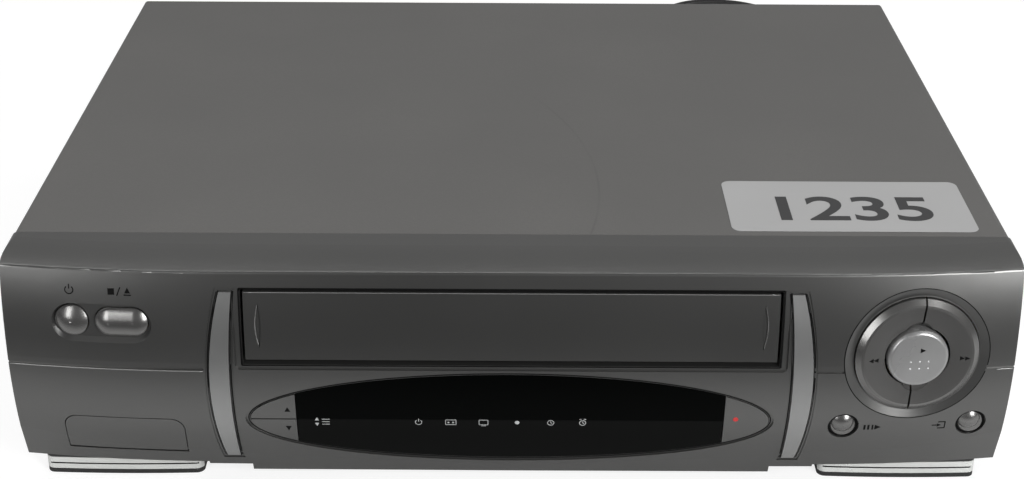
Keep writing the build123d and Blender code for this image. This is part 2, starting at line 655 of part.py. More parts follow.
def cover_screws():
    half = COVER_WIDTH / 2
    rear = REAR_Y + 0.1 + SHEET
    screws = []
    for y in side_screw_places():
        screws.append(Pos(half, y, 16.0) * Rot(0, 90, 0) * screw())
        screws.append(Pos(-half, y, 16.0) * Rot(0, -90, 0) * screw())
    for x in rear_screw_places():
        screws.append(Pos(x, rear, COVER_TOP - 4.5) * Rot(-90, 0, 0) * screw())
    return Compound(children=screws)


def bottom_plate():
    """Steel floor with upturned sides, vents and folded stands for the deck and the boards."""
    half = COVER_WIDTH / 2 - 1.2
    front, rear = SEAM_Y + 0.8, REAR_Y - 1.2
    low = FLOOR_Z - FLOOR_THICK
    plate = block(-half, half, front, rear, low, FLOOR_Z)
    plate += both_sides(block(half - FLOOR_THICK, half, front + 12, rear, low, FLANGE_TOP))
    for x in (-140.0, 60.0, 140.0):
        for step in range(4):
            plate -= block(x - 18, x + 18, -8 + step * 12, -3 + step * 12, low - 1, FLOOR_Z + 1)
    for y in side_screw_places():
        plate -= rod_x(1.6, -half - 1, half + 1, y, 16.0)
    for x, y in deck_pillars():
        plate += block(x - 6, x + 6, y - 6, y - 5, FLOOR_Z, DECK_Z)
        plate += block(x - 6, x + 6, y - 6, y + 6, DECK_Z - 1, DECK_Z)
    for x, y in board_stands():
        plate += block(x - 4, x + 4, y - 1, y + 1, FLOOR_Z, BOARD_Z)
    return plate


def deck_pillars():
    return [(side * 89.0, y) for side in (-1, 1) for y in (-104.0, 90.0)]


def board_stands():
    half = COVER_WIDTH / 2
    return [(side * (half - 12), y) for side in (-1, 1) for y in (-90.0, 40.0, 124.0)] + [(-50.0, 124.0)]


RF_X = (-152.0, -128.0)
SCART_X = (-84.0, -30.0)
AV_X = (16.0, 34.0, 52.0)
SOCKET_Z = 34.0


def rear_panel():
    """Steel rear wall with its socket openings, lead hole and cooling slots."""
    half = COVER_WIDTH / 2 - 1.4
    wall = block(-half, half, REAR_Y - 1.0, REAR_Y, FLOOR_Z + 0.2, COVER_TOP - SHEET - 0.4)
    y0, y1 = REAR_Y - 3, REAR_Y + 2
    for x in (*RF_X, *AV_X):
        wall -= rod_y(5.5, x, SOCKET_Z, y0, y1)
    for x in SCART_X:
        wall -= through(Pos(x, SOCKET_Z) * scart_outline(0.4), y0, y1)
    wall -= rod_y(6.2, gland_x(), GLAND_Z, y0, y1)
    for x in rear_screw_places():
        wall -= rod_y(1.6, x, COVER_TOP - 4.5, y0, y1)
    for step in range(8):
        x = 84.0 + step * 9
        wall -= block(x, x + 3, y0, y1, 52, 74)
    return wall


def gland_x():
    return from_right(GLAND_IN)


def scart_outline(grow=0.0):
    """Outline of a 21-pole audio-video socket: a rectangle with one slanted corner."""
    w, h, cut = 22.6 + grow, 6.6 + grow, 5.5
    return make_face(Polyline((-w, -h), (w, -h), (w, h), (-w + cut * 1.8, h), (-w, h - cut), close=True))


def rear_sockets():
    """Sockets through the rear wall, each on a body that stands on the main board."""
    top_of_board = BOARD_Z + BOARD_THICK
    inside = REAR_Y - 1.1
    shells = []
    for x in SCART_X:
        front = through(Pos(x, SOCKET_Z) * scart_outline(), inside - 12, REAR_Y + 4.0)
        front -= through(Pos(x, SOCKET_Z) * scart_outline(-1.4), REAR_Y - 5.0, REAR_Y + 5.0)
        tongue = block(x - 18, x + 18, REAR_Y - 5.0, REAR_Y + 3.0, SOCKET_Z - 2.0, SOCKET_Z + 2.0)
        stand = block(x - 24, x + 24, inside - 12, inside - 2, top_of_board, SOCKET_Z + 7.5)
        shells.append(stand + front + tongue)
    NODES["scart_sockets"] = Compound(children=shells)

    x0, x1 = RF_X[0] - 12, RF_X[1] + 12
    can = block(x0, x1, inside - 62, inside, 20.0, 48.0)
    can -= block(x0 + 1, x1 - 1, inside - 61, inside - 1, 21.0, 47.0)
    for x in (x0, x1 - 1):
        can += block(x, x + 1, inside - 60, inside - 2, top_of_board, 20.0)
    y = inside - 0.5
    aerial_in = rod_y(5.3, RF_X[0], SOCKET_Z, y, JACK_TIP_Y)
    aerial_in -= rod_y(4.8, RF_X[0], SOCKET_Z, REAR_Y, JACK_TIP_Y + 1)
    aerial_in -= rod_y(1.2, RF_X[0], SOCKET_Z, y - 2, REAR_Y + 1)
    can -= rod_y(1.2, RF_X[0], SOCKET_Z, inside - 2, REAR_Y)
    aerial_out = rod_y(4.5, RF_X[1], SOCKET_Z, y, JACK_TIP_Y) + rod_y(5.2, RF_X[1], SOCKET_Z, y, REAR_Y + 0.8)
    aerial_out -= rod_y(1.2, RF_X[1], SOCKET_Z, REAR_Y, JACK_TIP_Y + 1)
    NODES["tuner_module"] = can + aerial_in + aerial_out

    base = block(AV_X[0] - 9, AV_X[2] + 9, inside - 14, inside, top_of_board, SOCKET_Z + 8)
    for x in AV_X:
        base += rod_y(JACK_COLLAR_R, x, SOCKET_Z, inside, REAR_Y + 0.8)
        base += rod_y(JACK_R, x, SOCKET_Z, inside, JACK_TIP_Y - 0.6)
        base -= rod_y(1.65, x, SOCKET_Z, REAR_Y - 6, JACK_TIP_Y)
    NODES["rear_jacks"] = base


def foot_outline():
    """Plan of a front foot: a slightly bowed front and rounded corners."""
    half = FOOT_LONG / 2
    front = ThreePointArc((-half, FOOT_FRONT_Y + 0.8), (0, FOOT_FRONT_Y), (half, FOOT_FRONT_Y + 0.8))
    rear = FOOT_FRONT_Y + FOOT_DEEP
    sides = Polyline((half, FOOT_FRONT_Y + 0.8), (half, rear), (-half, rear), (-half, FOOT_FRONT_Y + 0.8))
    face = make_face([front, *sides.edges()])
    return fillet(face.vertices(), 3.0)


def feet():
    """Two front feet with bright trims let into them, and two round feet behind."""
    x = from_right(FOOT_IN)
    top = FLOOR_Z - FLOOR_THICK
    outline = foot_outline()
    low, high, deep = 1.9, 6.9, 0.6
    seat = extrude(Pos(0, -2.0, low) * outline, high - low) - extrude(Pos(0, deep, 1.0) * outline, 7)
    body = extrude(outline, top) - seat
    band = extrude(Pos(0, -0.2, low + 0.1) * outline, high - low - 0.2)
    band -= extrude(Pos(0, deep - 0.05, 1.0) * outline, 7)
    band &= block(-FOOT_LONG, FOOT_LONG, FOOT_FRONT_Y - 2, FOOT_FRONT_Y + 3.0, 0, 9)
    for name, place in (("left", -x), ("right", x)):
        NODES[f"front_{name}_foot"] = Pos(place, 0, 0) * body
    NODES["foot_trims"] = Compound(children=[Pos(place, 0, 0) * band for place in (-x, x)])
    rear = []
    for side in (-1, 1):
        foot = post(12.0, side * (COVER_WIDTH / 2 - 45), REAR_Y - 30, 0, top)
        rear.append(chamfer(foot.edges().group_by(Axis.Z)[0], 1.0))
    NODES["rear_feet"] = Compound(children=rear)


# ---- Electronics ----
def electronics():
    """Main board and power board, each with the parts that stand on it."""
    half = COVER_WIDTH / 2 - 4
    z0, z1 = BOARD_Z, BOARD_Z + BOARD_THICK
    rear = REAR_Y - 3
    board = block(-half, -104, -108, rear, z0, z1) + block(-104, 84, 106, rear, z0, z1)
    chips = [(-140, -30, 34, 20), (-140, 10, 22, 22), (-132, 44, 30, 14), (60, 114, 26, 10)]
    parts = [block(x - w / 2, x + w / 2, y - d / 2, y + d / 2, z1, z1 + 3.5) for x, y, w, d in chips]
    cans = [(-158, -70, 6, 16), (-138, -70, 6, 16), (-118, -50, 5, 12)]
    parts += [post(r, x, y, z1, z1 + h) for x, y, r, h in cans]
    NODES["main_board"] = Compound(children=[board, *parts])
    supply = [block(104, half, -108, rear, z0, z1), post(11.0, 122.0, 6.0, z1, z1 + 30)]
    core = block(118, 158, 34, 74, z1, z1 + 34) - block(124, 152, 33, 75, z1 + 8, z1 + 26)
    NODES["transformer"] = Compound(children=[core, block(125, 151, 36, 72, z1 + 8, z1 + 26)])
    sink = block(112, 168, -24, -21, z1, z1 + 40)
    for step in range(6):
        x = 114.0 + step * 10
        sink += block(x, x + 2, -33, -24, z1, z1 + 40)
    NODES["power_board"] = Compound(children=[*supply, sink])


# ---- Tape deck ----
def arc_slot(side, width, grow_degrees=0.0):
    """Slot along which a guide post runs, as a flat outline."""
    sweep = TRACK_SWEEP + 2 * grow_degrees
    start = 180 - sweep / 2 if side < 0 else -sweep / 2
    arc = CenterArc((-side * TRACK_X, TRACK_Y), TRACK_R, start, sweep)
    return trace(arc, width) + Pos(arc @ 0) * Circle(width / 2) + Pos(arc @ 1) * Circle(width / 2)


def track_point(side, degrees_from_middle):
    """A point of the guide post's arc, counted from its middle towards the rear."""
    angle = radians(degrees_from_middle)
    return side * (TRACK_R * cos(angle) - TRACK_X), TRACK_Y + TRACK_R * sin(angle)


def deck_chassis():
    """Pressed steel deck plate with its openings, upturned edges, fixed pins and capstan bearing."""
    plate = block(-DECK_HALF, DECK_HALF, DECK_FRONT_Y, DECK_REAR_Y, DECK_Z, DECK_TOP)
    plate -= post(26.0, 0, DRUM_Y, DECK_Z - 1, DECK_TOP + 1)
    for side in (-1, 1):
        plate -= Pos(0, 0, DECK_Z - 1) * extrude(arc_slot(side, 4.6), 4)
    plate -= post(2.0 + PLAY, 0, IDLER_Y, DECK_Z - 1, DECK_TOP + 1)
    plate -= post(4.3, CAPSTAN_X, CAPSTAN_Y, DECK_Z - 1, DECK_TOP + 1)
    edges = [
        block(-DECK_HALF, DECK_HALF, DECK_REAR_Y - DECK_THICK, DECK_REAR_Y, DECK_TOP, DECK_TOP + 7),
        block(-60, 60, DECK_FRONT_Y, DECK_FRONT_Y + DECK_THICK, DECK_TOP, DECK_TOP + 5),
    ]
    pins = [post(1.5, side * REEL_X, REEL_Y, DECK_TOP, 46.0) for side in (-1, 1)]
    pins += [post(2.0, CAM_X, CAM_Y, DECK_TOP, 33.0), post(2.0, PINCH_X, PINCH_Y, DECK_TOP, 40.0)]
    bearing = post(4.3, CAPSTAN_X, CAPSTAN_Y, DECK_Z - 1.0, 32.0)
    bearing -= post(CAPSTAN_R + PLAY, CAPSTAN_X, CAPSTAN_Y, 10, 60)
    return Compound(children=[plate, *edges, *pins, bearing])


IDLER_Y = -84.0
IDLER_ARM = 25.0
IDLER_R = 14.0
DRIVE_R = IDLER_ARM - IDLER_R - 0.3
BELT_Z = 14.2
PULLEY_HALF = 2.0
CAPSTAN_PULLEY_R, DRIVE_PULLEY_R = 7.0, 15.0
CAM_X, CAM_Y, CAM_R = -66.0, 82.0, 13.5
PINCH_X, PINCH_Y, PINCH_R = 90.0, 26.0, 7.0
PINCH_SWING = 30.0
FLYWHEEL_R = 24.0


def reel(side):
    """Reel table with a three-bladed spindle, turning on its pin."""
    x = side * REEL_X
    table = post(REEL_R, x, REEL_Y, 26.0, 31.0) + post(4.0, x, REEL_Y, 31.0, 47.0)
    for turn in (0, 120, 240):
        blade = Pos(x, REEL_Y, 0) * Rot(0, 0, turn) * block(3.0, 6.2, -0.9, 0.9, 31.0, 45.0)
        table += blade
    return table - post(1.5 + PLAY, x, REEL_Y, 25.0, 46.3)


def drum():
    """Leaning head drum: a fixed lower half with the tape's ledge, a turning upper half with four gaps."""
    lean = Pos(0, DRUM_Y, 29.0) * Rot(0, DRUM_LEAN, 0)
    base = block(-28, 28, DRUM_Y - 29, DRUM_Y + 29, DECK_TOP, DECK_TOP + 2.4)
    base += (lean * Pos(0, 0, -3) * Cylinder(24.0, 12.0)) & block(-40, 40, 0, 80, DECK_TOP, 60)
    lower = lean * Pos(0, 0, 10.5) * Cylinder(DRUM_R, 15.0)
    ledge = lean * Pos(0, 0, 8.0) * Cylinder(DRUM_R + 0.7, 10.0)
    slant = Pos(0, DRUM_Y, 42.5) * Rot(0, -DRUM_LEAN, 0) * Pos(0, 0, -20) * Box(90, 90, 40)
    bore = lean * Cylinder(3.0 + PLAY, 90.0)
    NODES["lower_drum"] = base + lower + (ledge & slant) - bore
    upper = lean * Pos(0, 0, 24.9) * Cylinder(DRUM_R, 13.0) + lean * Pos(0, 0, 32.4) * Cylinder(12.0, 2.0)
    for turn in (20, 110, 200, 290):
        upper -= lean * Rot(0, 0, turn) * Pos(DRUM_R - 0.6, 0, 19.3) * Box(3.0, 3.0, 1.8)
    shaft = lean * Pos(0, 0, 9.0) * Cylinder(3.0, 40.0)
    rotor = lean * Pos(0, 0, -11.0) * Cylinder(21.0, 4.0)
    NODES["upper_drum"] = upper + shaft + rotor


def capstan():
    """Capstan shaft with its flywheel and belt pulley."""
    x, y = CAPSTAN_X, CAPSTAN_Y
    low, high = BELT_Z - PULLEY_HALF, BELT_Z + PULLEY_HALF
    wheel = post(FLYWHEEL_R, x, y, high, high + 4.6) + post(CAPSTAN_PULLEY_R, x, y, low, high)
    NODES["capstan"] = wheel + post(CAPSTAN_R, x, y, low - 0.6, 56.0)


def pinch_roller():
    """Rubber roller on an arm that swings it against the capstan."""
    reach = hypot(PINCH_X - CAPSTAN_X, PINCH_Y - CAPSTAN_Y)
    arm_long = reach - CAPSTAN_R - PINCH_R - 0.3
    rest = atan2(CAPSTAN_Y - PINCH_Y, CAPSTAN_X - PINCH_X) + radians(PINCH_SWING)
    x, y = PINCH_X + arm_long * cos(rest), PINCH_Y + arm_long * sin(rest)
    pivot = Pos(PINCH_X, PINCH_Y, 34.0) * Rot(0, 0, degrees(rest))
    arm = pivot * Pos(arm_long / 2, 0, 0) * Box(arm_long, 7.0, 2.0)
    arm += post(4.5, PINCH_X, PINCH_Y, 29.0, 39.0) + post(3.5, x, y, 33.0, 36.0) + post(1.5, x, y, 36.0, 55.0)
    NODES["pinch_arm"] = arm - post(2.0 + PLAY, PINCH_X, PINCH_Y, 20, 40.3)
    NODES["pinch_roller"] = post(PINCH_R, x, y, 37.0, 54.0) - post(1.5 + PLAY, x, y, 30, 60)


def heads():
    """Erase head and the audio and control head, on their stands."""
    head = block(59.5, 70.5, 34, 42, 38.0, 54.0)
    head = fillet(head.edges().filter_by(Axis.Z).group_by(Axis.Y)[0], 2.0)
    stand = block(61, 69, 37, 40.5, DECK_TOP, 38.0) + block(57, 73, 33.5, 43, DECK_TOP, DECK_TOP + 2)
    NODES["audio_control_head"] = head + stand
    erase = block(-72, -61, 10, 18, 38.0, 54.0)
    erase = fillet(erase.edges().filter_by(Axis.Z).group_by(Axis.Y)[0], 2.0)
    NODES["erase_head"] = erase + block(-69, -64, 13, 16.5, DECK_TOP, 38.0)


def guide_posts():
    """Roller posts that draw the tape around the drum, each on a shoe in its arc slot."""
    for side, name in ((-1, "supply_guide_post"), (1, "take_up_guide_post")):
        x, y = track_point(side, -TRACK_SWEEP / 2)
        shoe = post(6.0, x, y, DECK_TOP + 0.3, DECK_TOP + 3.0) + post(2.0, x, y, DECK_Z - 1.5, DECK_TOP + 0.3)
        NODES[name] = shoe + post(3.0, x, y, DECK_TOP + 3.0, 54.0) + post(3.8, x, y, 54.0, 55.5)


def reel_drive():
    """Reel tables, the idler that swings between them, and the belt that drives it."""
    NODES["supply_reel"] = reel(-1)
    NODES["take_up_reel"] = reel(1)
    low, high = BELT_Z - PULLEY_HALF, BELT_Z + PULLEY_HALF
    pulley = post(DRIVE_PULLEY_R, 0, IDLER_Y, low, high) + post(2.0, 0, IDLER_Y, high, 28.0)
    NODES["drive_pulley"] = pulley + post(DRIVE_R, 0, IDLER_Y, 28.0, 31.0)
    far = IDLER_Y + IDLER_ARM
    z0, z1 = DECK_TOP + 0.4, DECK_TOP + 1.6
    arm = block(-4, 4, IDLER_Y, far, z0, z1) + post(5.0, 0, IDLER_Y, z0, z1) + post(5.0, 0, far, z0, z1)
    NODES["idler_arm"] = arm + post(1.5, 0, far, z1, 33.0) - post(2.0 + PLAY, 0, IDLER_Y, 20, 40)
    NODES["idler_wheel"] = post(IDLER_R, 0, far, 28.0, 31.0) - post(1.5 + PLAY, 0, far, 20, 40)
    NODES["capstan_belt"] = capstan_belt()


def capstan_belt():
    """Square-section rubber belt around the capstan's pulley and the drive pulley."""
    a, b = Vector(CAPSTAN_X, CAPSTAN_Y), Vector(0, IDLER_Y)
    ra, rb = CAPSTAN_PULLEY_R + PLAY, DRIVE_PULLEY_R + PLAY

    def loop(grow):
        gap = a - b
        turn = atan2(gap.Y, gap.X)
        lean = asin((ra - rb) / gap.length)
        outline = []
        for sign in (1, -1):
            normal = turn + sign * (pi / 2 + lean)
            direction = Vector(cos(normal), sin(normal))
            outline.append((b + direction * (rb + grow), a + direction * (ra + grow)))
        (b1, a1), (b2, a2) = outline
        far_a = a + Vector(cos(turn), sin(turn)) * (ra + grow)
        far_b = b - Vector(cos(turn), sin(turn)) * (rb + grow)
        ends = [ThreePointArc(a1, far_a, a2), ThreePointArc(b2, far_b, b1)]
        return make_face([Line(b1, a1), ends[0], Line(a2, b2), ends[1]])

    flat = loop(0.9) - loop(0.0)
    return Pos(0, 0, BELT_Z - 0.6) * extrude(flat, 1.2)


def gear_outline(teeth, module, backlash=0.12):
    """Involute spur gear: each flank runs from root to tip along the involute of the base circle."""
    pitch = teeth * module / 2
    base = pitch * cos(radians(20))
    root, tip = pitch - 1.25 * module, pitch + 0.95 * module
    half_angle = pi / (2 * teeth) - backlash / pitch
    spread = tan(radians(20)) - radians(20)
    flank = []
    for radius in (root, pitch, tip):
        roll = acos(min(1.0, base / max(radius, base)))
        flank.append((radius, half_angle + spread - (tan(roll) - roll)))
    points = []
    for tooth in range(teeth):
        middle = 2 * pi * tooth / teeth + pi / 2
        points += [(r * cos(middle - a), r * sin(middle - a)) for r, a in flank]
        points += [(r * cos(middle + a), r * sin(middle + a)) for r, a in reversed(flank)]
    return make_face(Polyline(*points, close=True))


def rack_teeth(y0, y1, pitch_z, gap_y, backlash=0.12):
    """Straight-flanked rack teeth pointing down, with a gap centred on gap_y."""
    pitch = pi * MODULE
    lean = tan(radians(20))
    tip_z, root_z = pitch_z - 0.95 * MODULE, pitch_z + 1.25 * MODULE
    half_tip = pitch / 4 - backlash - 0.95 * MODULE * lean
    half_root = pitch / 4 - backlash + 1.25 * MODULE * lean
    first = ceil((y0 + half_root - gap_y) / pitch - 0.5)
    outline = None
    centre = gap_y + (first + 0.5) * pitch
    while centre + half_root < y1:
        right = [(half_tip, tip_z), (half_root, root_z), (half_root, root_z + 0.2)]
        left = [(-reach, z) for reach, z in reversed(right)]
        tooth = make_face(Polyline(*[(centre + reach, z) for reach, z in left + right], close=True))
        outline = tooth if outline is None else outline + tooth
        centre += pitch
    return outline


def carriage():
    """Cassette carriage: frame, sliding racks, the tray that they carry and the drive pinion."""
    wall_x = TRAY_HALF + TRAY_SHEET
    slide_x = wall_x + SLIDE_GAP
    bracket_x = slide_x + SLIDE_SHEET + SLIDE_GAP
    top = TRAY_Z + CASSETTE_HIGH + 0.4
    pin_z = top - 3.0
    pins_y = (TRAY_FRONT_Y + 6.5, TRAY_REAR_Y - 8.0)

    ledge = block(TRAY_HALF - 10, wall_x, LEDGE_FRONT_Y, TRAY_REAR_Y, TRAY_Z - TRAY_SHEET, TRAY_Z)
    side = block(TRAY_HALF, wall_x, TRAY_FRONT_Y, TRAY_REAR_Y, TRAY_Z - TRAY_SHEET, top + TRAY_SHEET)
    stop = block(60, 90, TRAY_REAR_Y - TRAY_SHEET, TRAY_REAR_Y, top - 10, top + TRAY_SHEET)
    lid = block(-wall_x, wall_x, TRAY_FRONT_Y, TRAY_REAR_Y, top, top + TRAY_SHEET)
    for x in (-50.0, 50.0):
        lid -= block(x - 26, x + 26, TRAY_FRONT_Y + 8, TRAY_REAR_Y - 10, top - 1, top + 2)
    tray = lid + both_sides(ledge + side + stop)
    pins = [rod_x(1.5, wall_x, bracket_x + 1.0, y, pin_z) for y in pins_y]
    studs = [mirror(pin, Plane.YZ) for pin in pins]
    NODES["cassette_tray"] = Compound(children=[tray, *pins, *studs])

    rack_root = PINION_Z + (PINION_TEETH / 2 + 1.25) * MODULE
    bar_y0, bar_y1 = SHELF_REAR_Y + 2.0, PINION_Y + 4.0
    plate = block(slide_x, slide_x + SLIDE_SHEET, bar_y0, bar_y1, rack_root, rack_root + 3.6)
    plate += block(slide_x, slide_x + SLIDE_SHEET, pins_y[0] - 4, pins_y[1] + 4, rack_root, top + 5)
    for y in pins_y:
        plate -= block(slide_x - 1, slide_x + 2, y - 1.6, y + 1.6, pin_z - CARRIAGE_DOWN - 1.7, pin_z + 1.7)
    teeth = rack_teeth(bar_y0, bar_y1, PINION_Z + PINION_TEETH * MODULE / 2, PINION_Y)
    bar = block(-slide_x - 0.1, slide_x + 0.1, pins_y[1] - 2, pins_y[1] + 3, top + 2.2, top + 4.4)
    NODES["slide_racks"] = both_sides(plate) + extrude(seen_from_side(slide_x, teeth), SLIDE_SHEET) + bar

    # The bracket's window stands in for its L-shaped slot.
    far = TRAY_REAR_Y + CARRIAGE_IN
    x0, x1 = bracket_x, bracket_x + SLIDE_SHEET
    bracket = block(x0, x1, LEDGE_FRONT_Y, far + 6, DECK_TOP, top + 6.6)
    low, high = pin_z - CARRIAGE_DOWN - 2.5, pin_z + 1.9
    bracket -= block(x0 - 1, x1 + 1, pins_y[0] - 2.5, pins_y[1] + CARRIAGE_IN + 2.5, low, high)
    stub = rod_x(2.0, slide_x - 0.1, x0, PINION_Y, PINION_Z)
    bar = block(-x0, x0, far - 14, far - 4, top + 5.4, top + 6.6)
    NODES["carriage_frame"] = Compound(children=[bracket, mirror(bracket, Plane.YZ), stub, bar])
    gear = Pos(PINION_Y, PINION_Z) * gear_outline(PINION_TEETH, MODULE)
    pinion = extrude(seen_from_side(slide_x, gear), SLIDE_SHEET)
    NODES["carriage_pinion"] = pinion - rod_x(2.0 + PLAY, slide_x - 2, slide_x + 4, PINION_Y, PINION_Z)


def loading_drive():
    """Motor with its gearbox, and the cam gear that draws the tape around the drum."""
    x, z = -84.0, 39.0
    can = rod_y(12.0, x, z, 32, 60)
    cradle = block(x - 10, x + 10, 36, 56, DECK_TOP, z - 5)
    cradle += block(x - 13, x + 13, 60, 65.5, DECK_TOP, z + 13)
    NODES["loading_motor"] = can + cradle
    cam = Pos(CAM_X, CAM_Y, 27.0) * extrude(gear_outline(27, 1.0), 4.0)
    cam += post(6.0, CAM_X, CAM_Y, DECK_TOP + 0.4, 34.0)
    NODES["cam_gear"] = cam - post(2.0 + PLAY, CAM_X, CAM_Y, 20, 33.2)


# ---- Mains lead ----
def lead_route():
    """The lead's corners from the sleeve to the coil, chosen by hand."""
    x, y = gland_x(), REAR_Y + GLAND_OUT
    low = LEAD_D / 2 + 0.05
    turn_x = COIL_X + COIL_MID_R + 3
    return [
        Vector(x, y, GLAND_Z),
        Vector(x, y + 30, GLAND_Z),
        Vector(x + 3, y + 76, low),
        Vector(x + 11, y + 113, low),
        Vector(turn_x, COIL_Y - 27, low),
        Vector(turn_x + 0.2, COIL_Y, low),
    ]


def mains_lead():
    """Free stretch of the lead: straight runs joined by wide arcs."""
    corners = lead_route()
    radii = []
    for before, here, after in zip(corners, corners[1:], corners[2:]):
        turn = radians((here - before).get_angle(after - here))
        shorter = min((here - before).length, (after - here).length)
        radii.append(0.45 * shorter / tan(turn / 2))
    path = FilletPolyline(*corners, radius=radii)
    end = Plane(origin=corners[0], z_dir=corners[1] - corners[0])
    return sweep(end * Circle(LEAD_D / 2), path=path)


def lead_pieces():
    """Sleeve in the rear wall, the lead, its coil and the two-pin plug."""
    x, z = gland_x(), GLAND_Z
    outer_r, tip_r = 6.0, LEAD_D / 2 + 1.2
    cone = Plane(origin=(x, REAR_Y + GLAND_OUT / 2, z), z_dir=(0, 1, 0)) * Cone(outer_r, tip_r, GLAND_OUT)
    sleeve = rod_y(6.1, x, z, REAR_Y - 3.2, REAR_Y) + cone
    sleeve += rod_y(7.6, x, z, REAR_Y, REAR_Y + 1.6) + rod_y(7.6, x, z, REAR_Y - 3.2, REAR_Y - 1.1)
    NODES["lead_sleeve"] = sleeve
    inner, outer = COIL_MID_R - COIL_WIDE / 2, COIL_MID_R + COIL_WIDE / 2
    flat_base = [(inner, 6.0), (inner, 0.05), (outer, 0.05), (outer, 6.0)]
    corners = [*flat_base, (outer - 3, COIL_HIGH), (inner + 3, COIL_HIGH)]
    section = make_face(Polyline(*corners, close=True))
    coil = Pos(COIL_X, COIL_Y, 0) * revolve(Plane.XZ * section, Axis.Z)
    NODES["mains_lead_coil"] = coil
    NODES["mains_lead"] = mains_lead() - coil
    px, py, pz = COIL_X - COIL_MID_R - COIL_WIDE / 2 - 3, COIL_Y - 46, 6.9
    outline = Polyline((-13, -18), (13, -18), (13, -2), (6, 17), (-6, 17), (-13, -2), close=True)
    body = Pos(px, py - 17, 0.05) * extrude(make_face(outline), 13.6)
    body = chamfer(body.edges().filter_by(Axis.Z, reverse=True), 1.2)
    tail = Plane(origin=(px, py + 11, pz), z_dir=(0, 1, 0)) * Cone(4.6, 3.4, 24)
    tail += rod_y(3.4, px, pz, py + 23, COIL_Y - 6)
    pins = [rod_y(2.0, px + side * 9.3, pz, py - 35 - 19, py - 34) for side in (-1, 1)]
    NODES["mains_plug"] = body + (tail - coil) + pins[0] + pins[1]


def build():
    """Make every piece, from the front to the back and then the inside."""
    front_controls()
    front_boards()
    NODES["top_cover"] = top_cover()
    NODES["cover_screws"] = cover_screws()
    NODES["bottom_plate"] = bottom_plate()
    NODES["rear_panel"] = rear_panel()
    rear_sockets()
    feet()
    electronics()
    NODES["deck_chassis"] = deck_chassis()
    drum()
    capstan()
    pinch_roller()
    heads()
    guide_posts()
    reel_drive()
    carriage()
    loading_drive()
    lead_pieces()


build()
os.makedirs("parts", exist_ok=True)
for node, shape in NODES.items():
    export_step(shape, f"parts/{node}.step")
print(len(NODES), "nodes written")
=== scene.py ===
# Looks of a VHS video cassette recorder: finishes, printed marks, label, screws, sockets and mains lead.
# Lengths are millimetres times mm, in the recorder's own frame: +X right, +Y to the back, +Z up.
import math
import bpy
import numpy as np
from mathutils import Matrix


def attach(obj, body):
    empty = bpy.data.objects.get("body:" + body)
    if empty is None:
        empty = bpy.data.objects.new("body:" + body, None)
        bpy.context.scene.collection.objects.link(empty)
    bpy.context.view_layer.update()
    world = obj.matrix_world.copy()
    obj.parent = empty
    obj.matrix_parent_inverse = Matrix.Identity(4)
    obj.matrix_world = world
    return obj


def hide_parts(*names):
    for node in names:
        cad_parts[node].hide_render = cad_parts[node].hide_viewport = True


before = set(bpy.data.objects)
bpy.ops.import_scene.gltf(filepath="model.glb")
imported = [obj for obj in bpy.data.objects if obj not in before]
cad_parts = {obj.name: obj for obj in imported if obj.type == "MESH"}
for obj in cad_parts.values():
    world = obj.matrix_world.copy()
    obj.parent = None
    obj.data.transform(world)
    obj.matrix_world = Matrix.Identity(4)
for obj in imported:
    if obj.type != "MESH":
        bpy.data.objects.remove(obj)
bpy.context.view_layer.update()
mm = 0.001
scene = bpy.context.scene


def newObject(name, data):
    made = bpy.data.objects.new(name, data)
    scene.collection.objects.link(made)
    return made


def settle(thing, **values):
    # Sets several properties of one thing.
    for key, value in values.items():
        setattr(thing, key, value)
    return thing


# Camera: metres and degrees, lens and sensor in millimetres
cameraView = {"place": (0.0, -0.7118, 0.3822), "pitch": 64.0, "roll": 0.3,
              "lens": 64.4, "sensor": 36.0, "nearest": 0.02}


def makeCamera():
    view = cameraView
    data = bpy.data.cameras.new("productCamera")
    settle(data, lens=view["lens"], sensor_width=view["sensor"], clip_start=view["nearest"])
    pitch = Matrix.Rotation(math.radians(view["pitch"]), 3, "X")
    roll = Matrix.Rotation(math.radians(view["roll"]), 3, "Z")
    camera = newObject("productCamera", data)
    return settle(camera, location=view["place"], rotation_euler=(pitch @ roll).to_euler())


scene.camera = makeCamera()
scene.view_settings.view_transform = "Standard"
print("camera set")


# Meshes from arrays
def meshObject(name, points, faces, smooth=True):
    mesh = bpy.data.meshes.new(name)
    mesh.from_pydata(np.asarray(points).reshape(-1, 3).tolist(), [], [list(map(int, f)) for f in faces])
    mesh.validate()
    mesh.shade_smooth() if smooth else mesh.shade_flat()
    return newObject(name, mesh)


def gridFaces(rows, columns, wrapRows=False, wrapColumns=False, start=0):
    # Quads between neighbours of a rows x columns sheet of points; a wrapped direction meets its own start.
    index = np.arange(rows * columns).reshape(rows, columns) + start
    if wrapRows:
        index = np.vstack([index, index[:1]])
    if wrapColumns:
        index = np.hstack([index, index[:, :1]])
    a, b, c, d = index[:-1, :-1], index[:-1, 1:], index[1:, 1:], index[1:, :-1]
    return np.stack([a, b, c, d], -1).reshape(-1, 4)


def tubeFaces(rows, columns):
    # A tube of points whose first and last row close as fans on the two points that follow the grid.
    faces = gridFaces(rows, columns, wrapColumns=True).tolist()
    around = np.arange(columns)
    following = (around + 1) % columns
    last, pole = (rows - 1) * columns, np.full(columns, rows * columns)
    faces += np.stack([following, around, pole], -1).tolist()
    faces += np.stack([last + around, last + following, pole + 1], -1).tolist()
    return faces


def circleAngles(steps):
    return np.linspace(0, 2 * np.pi, steps, endpoint=False)


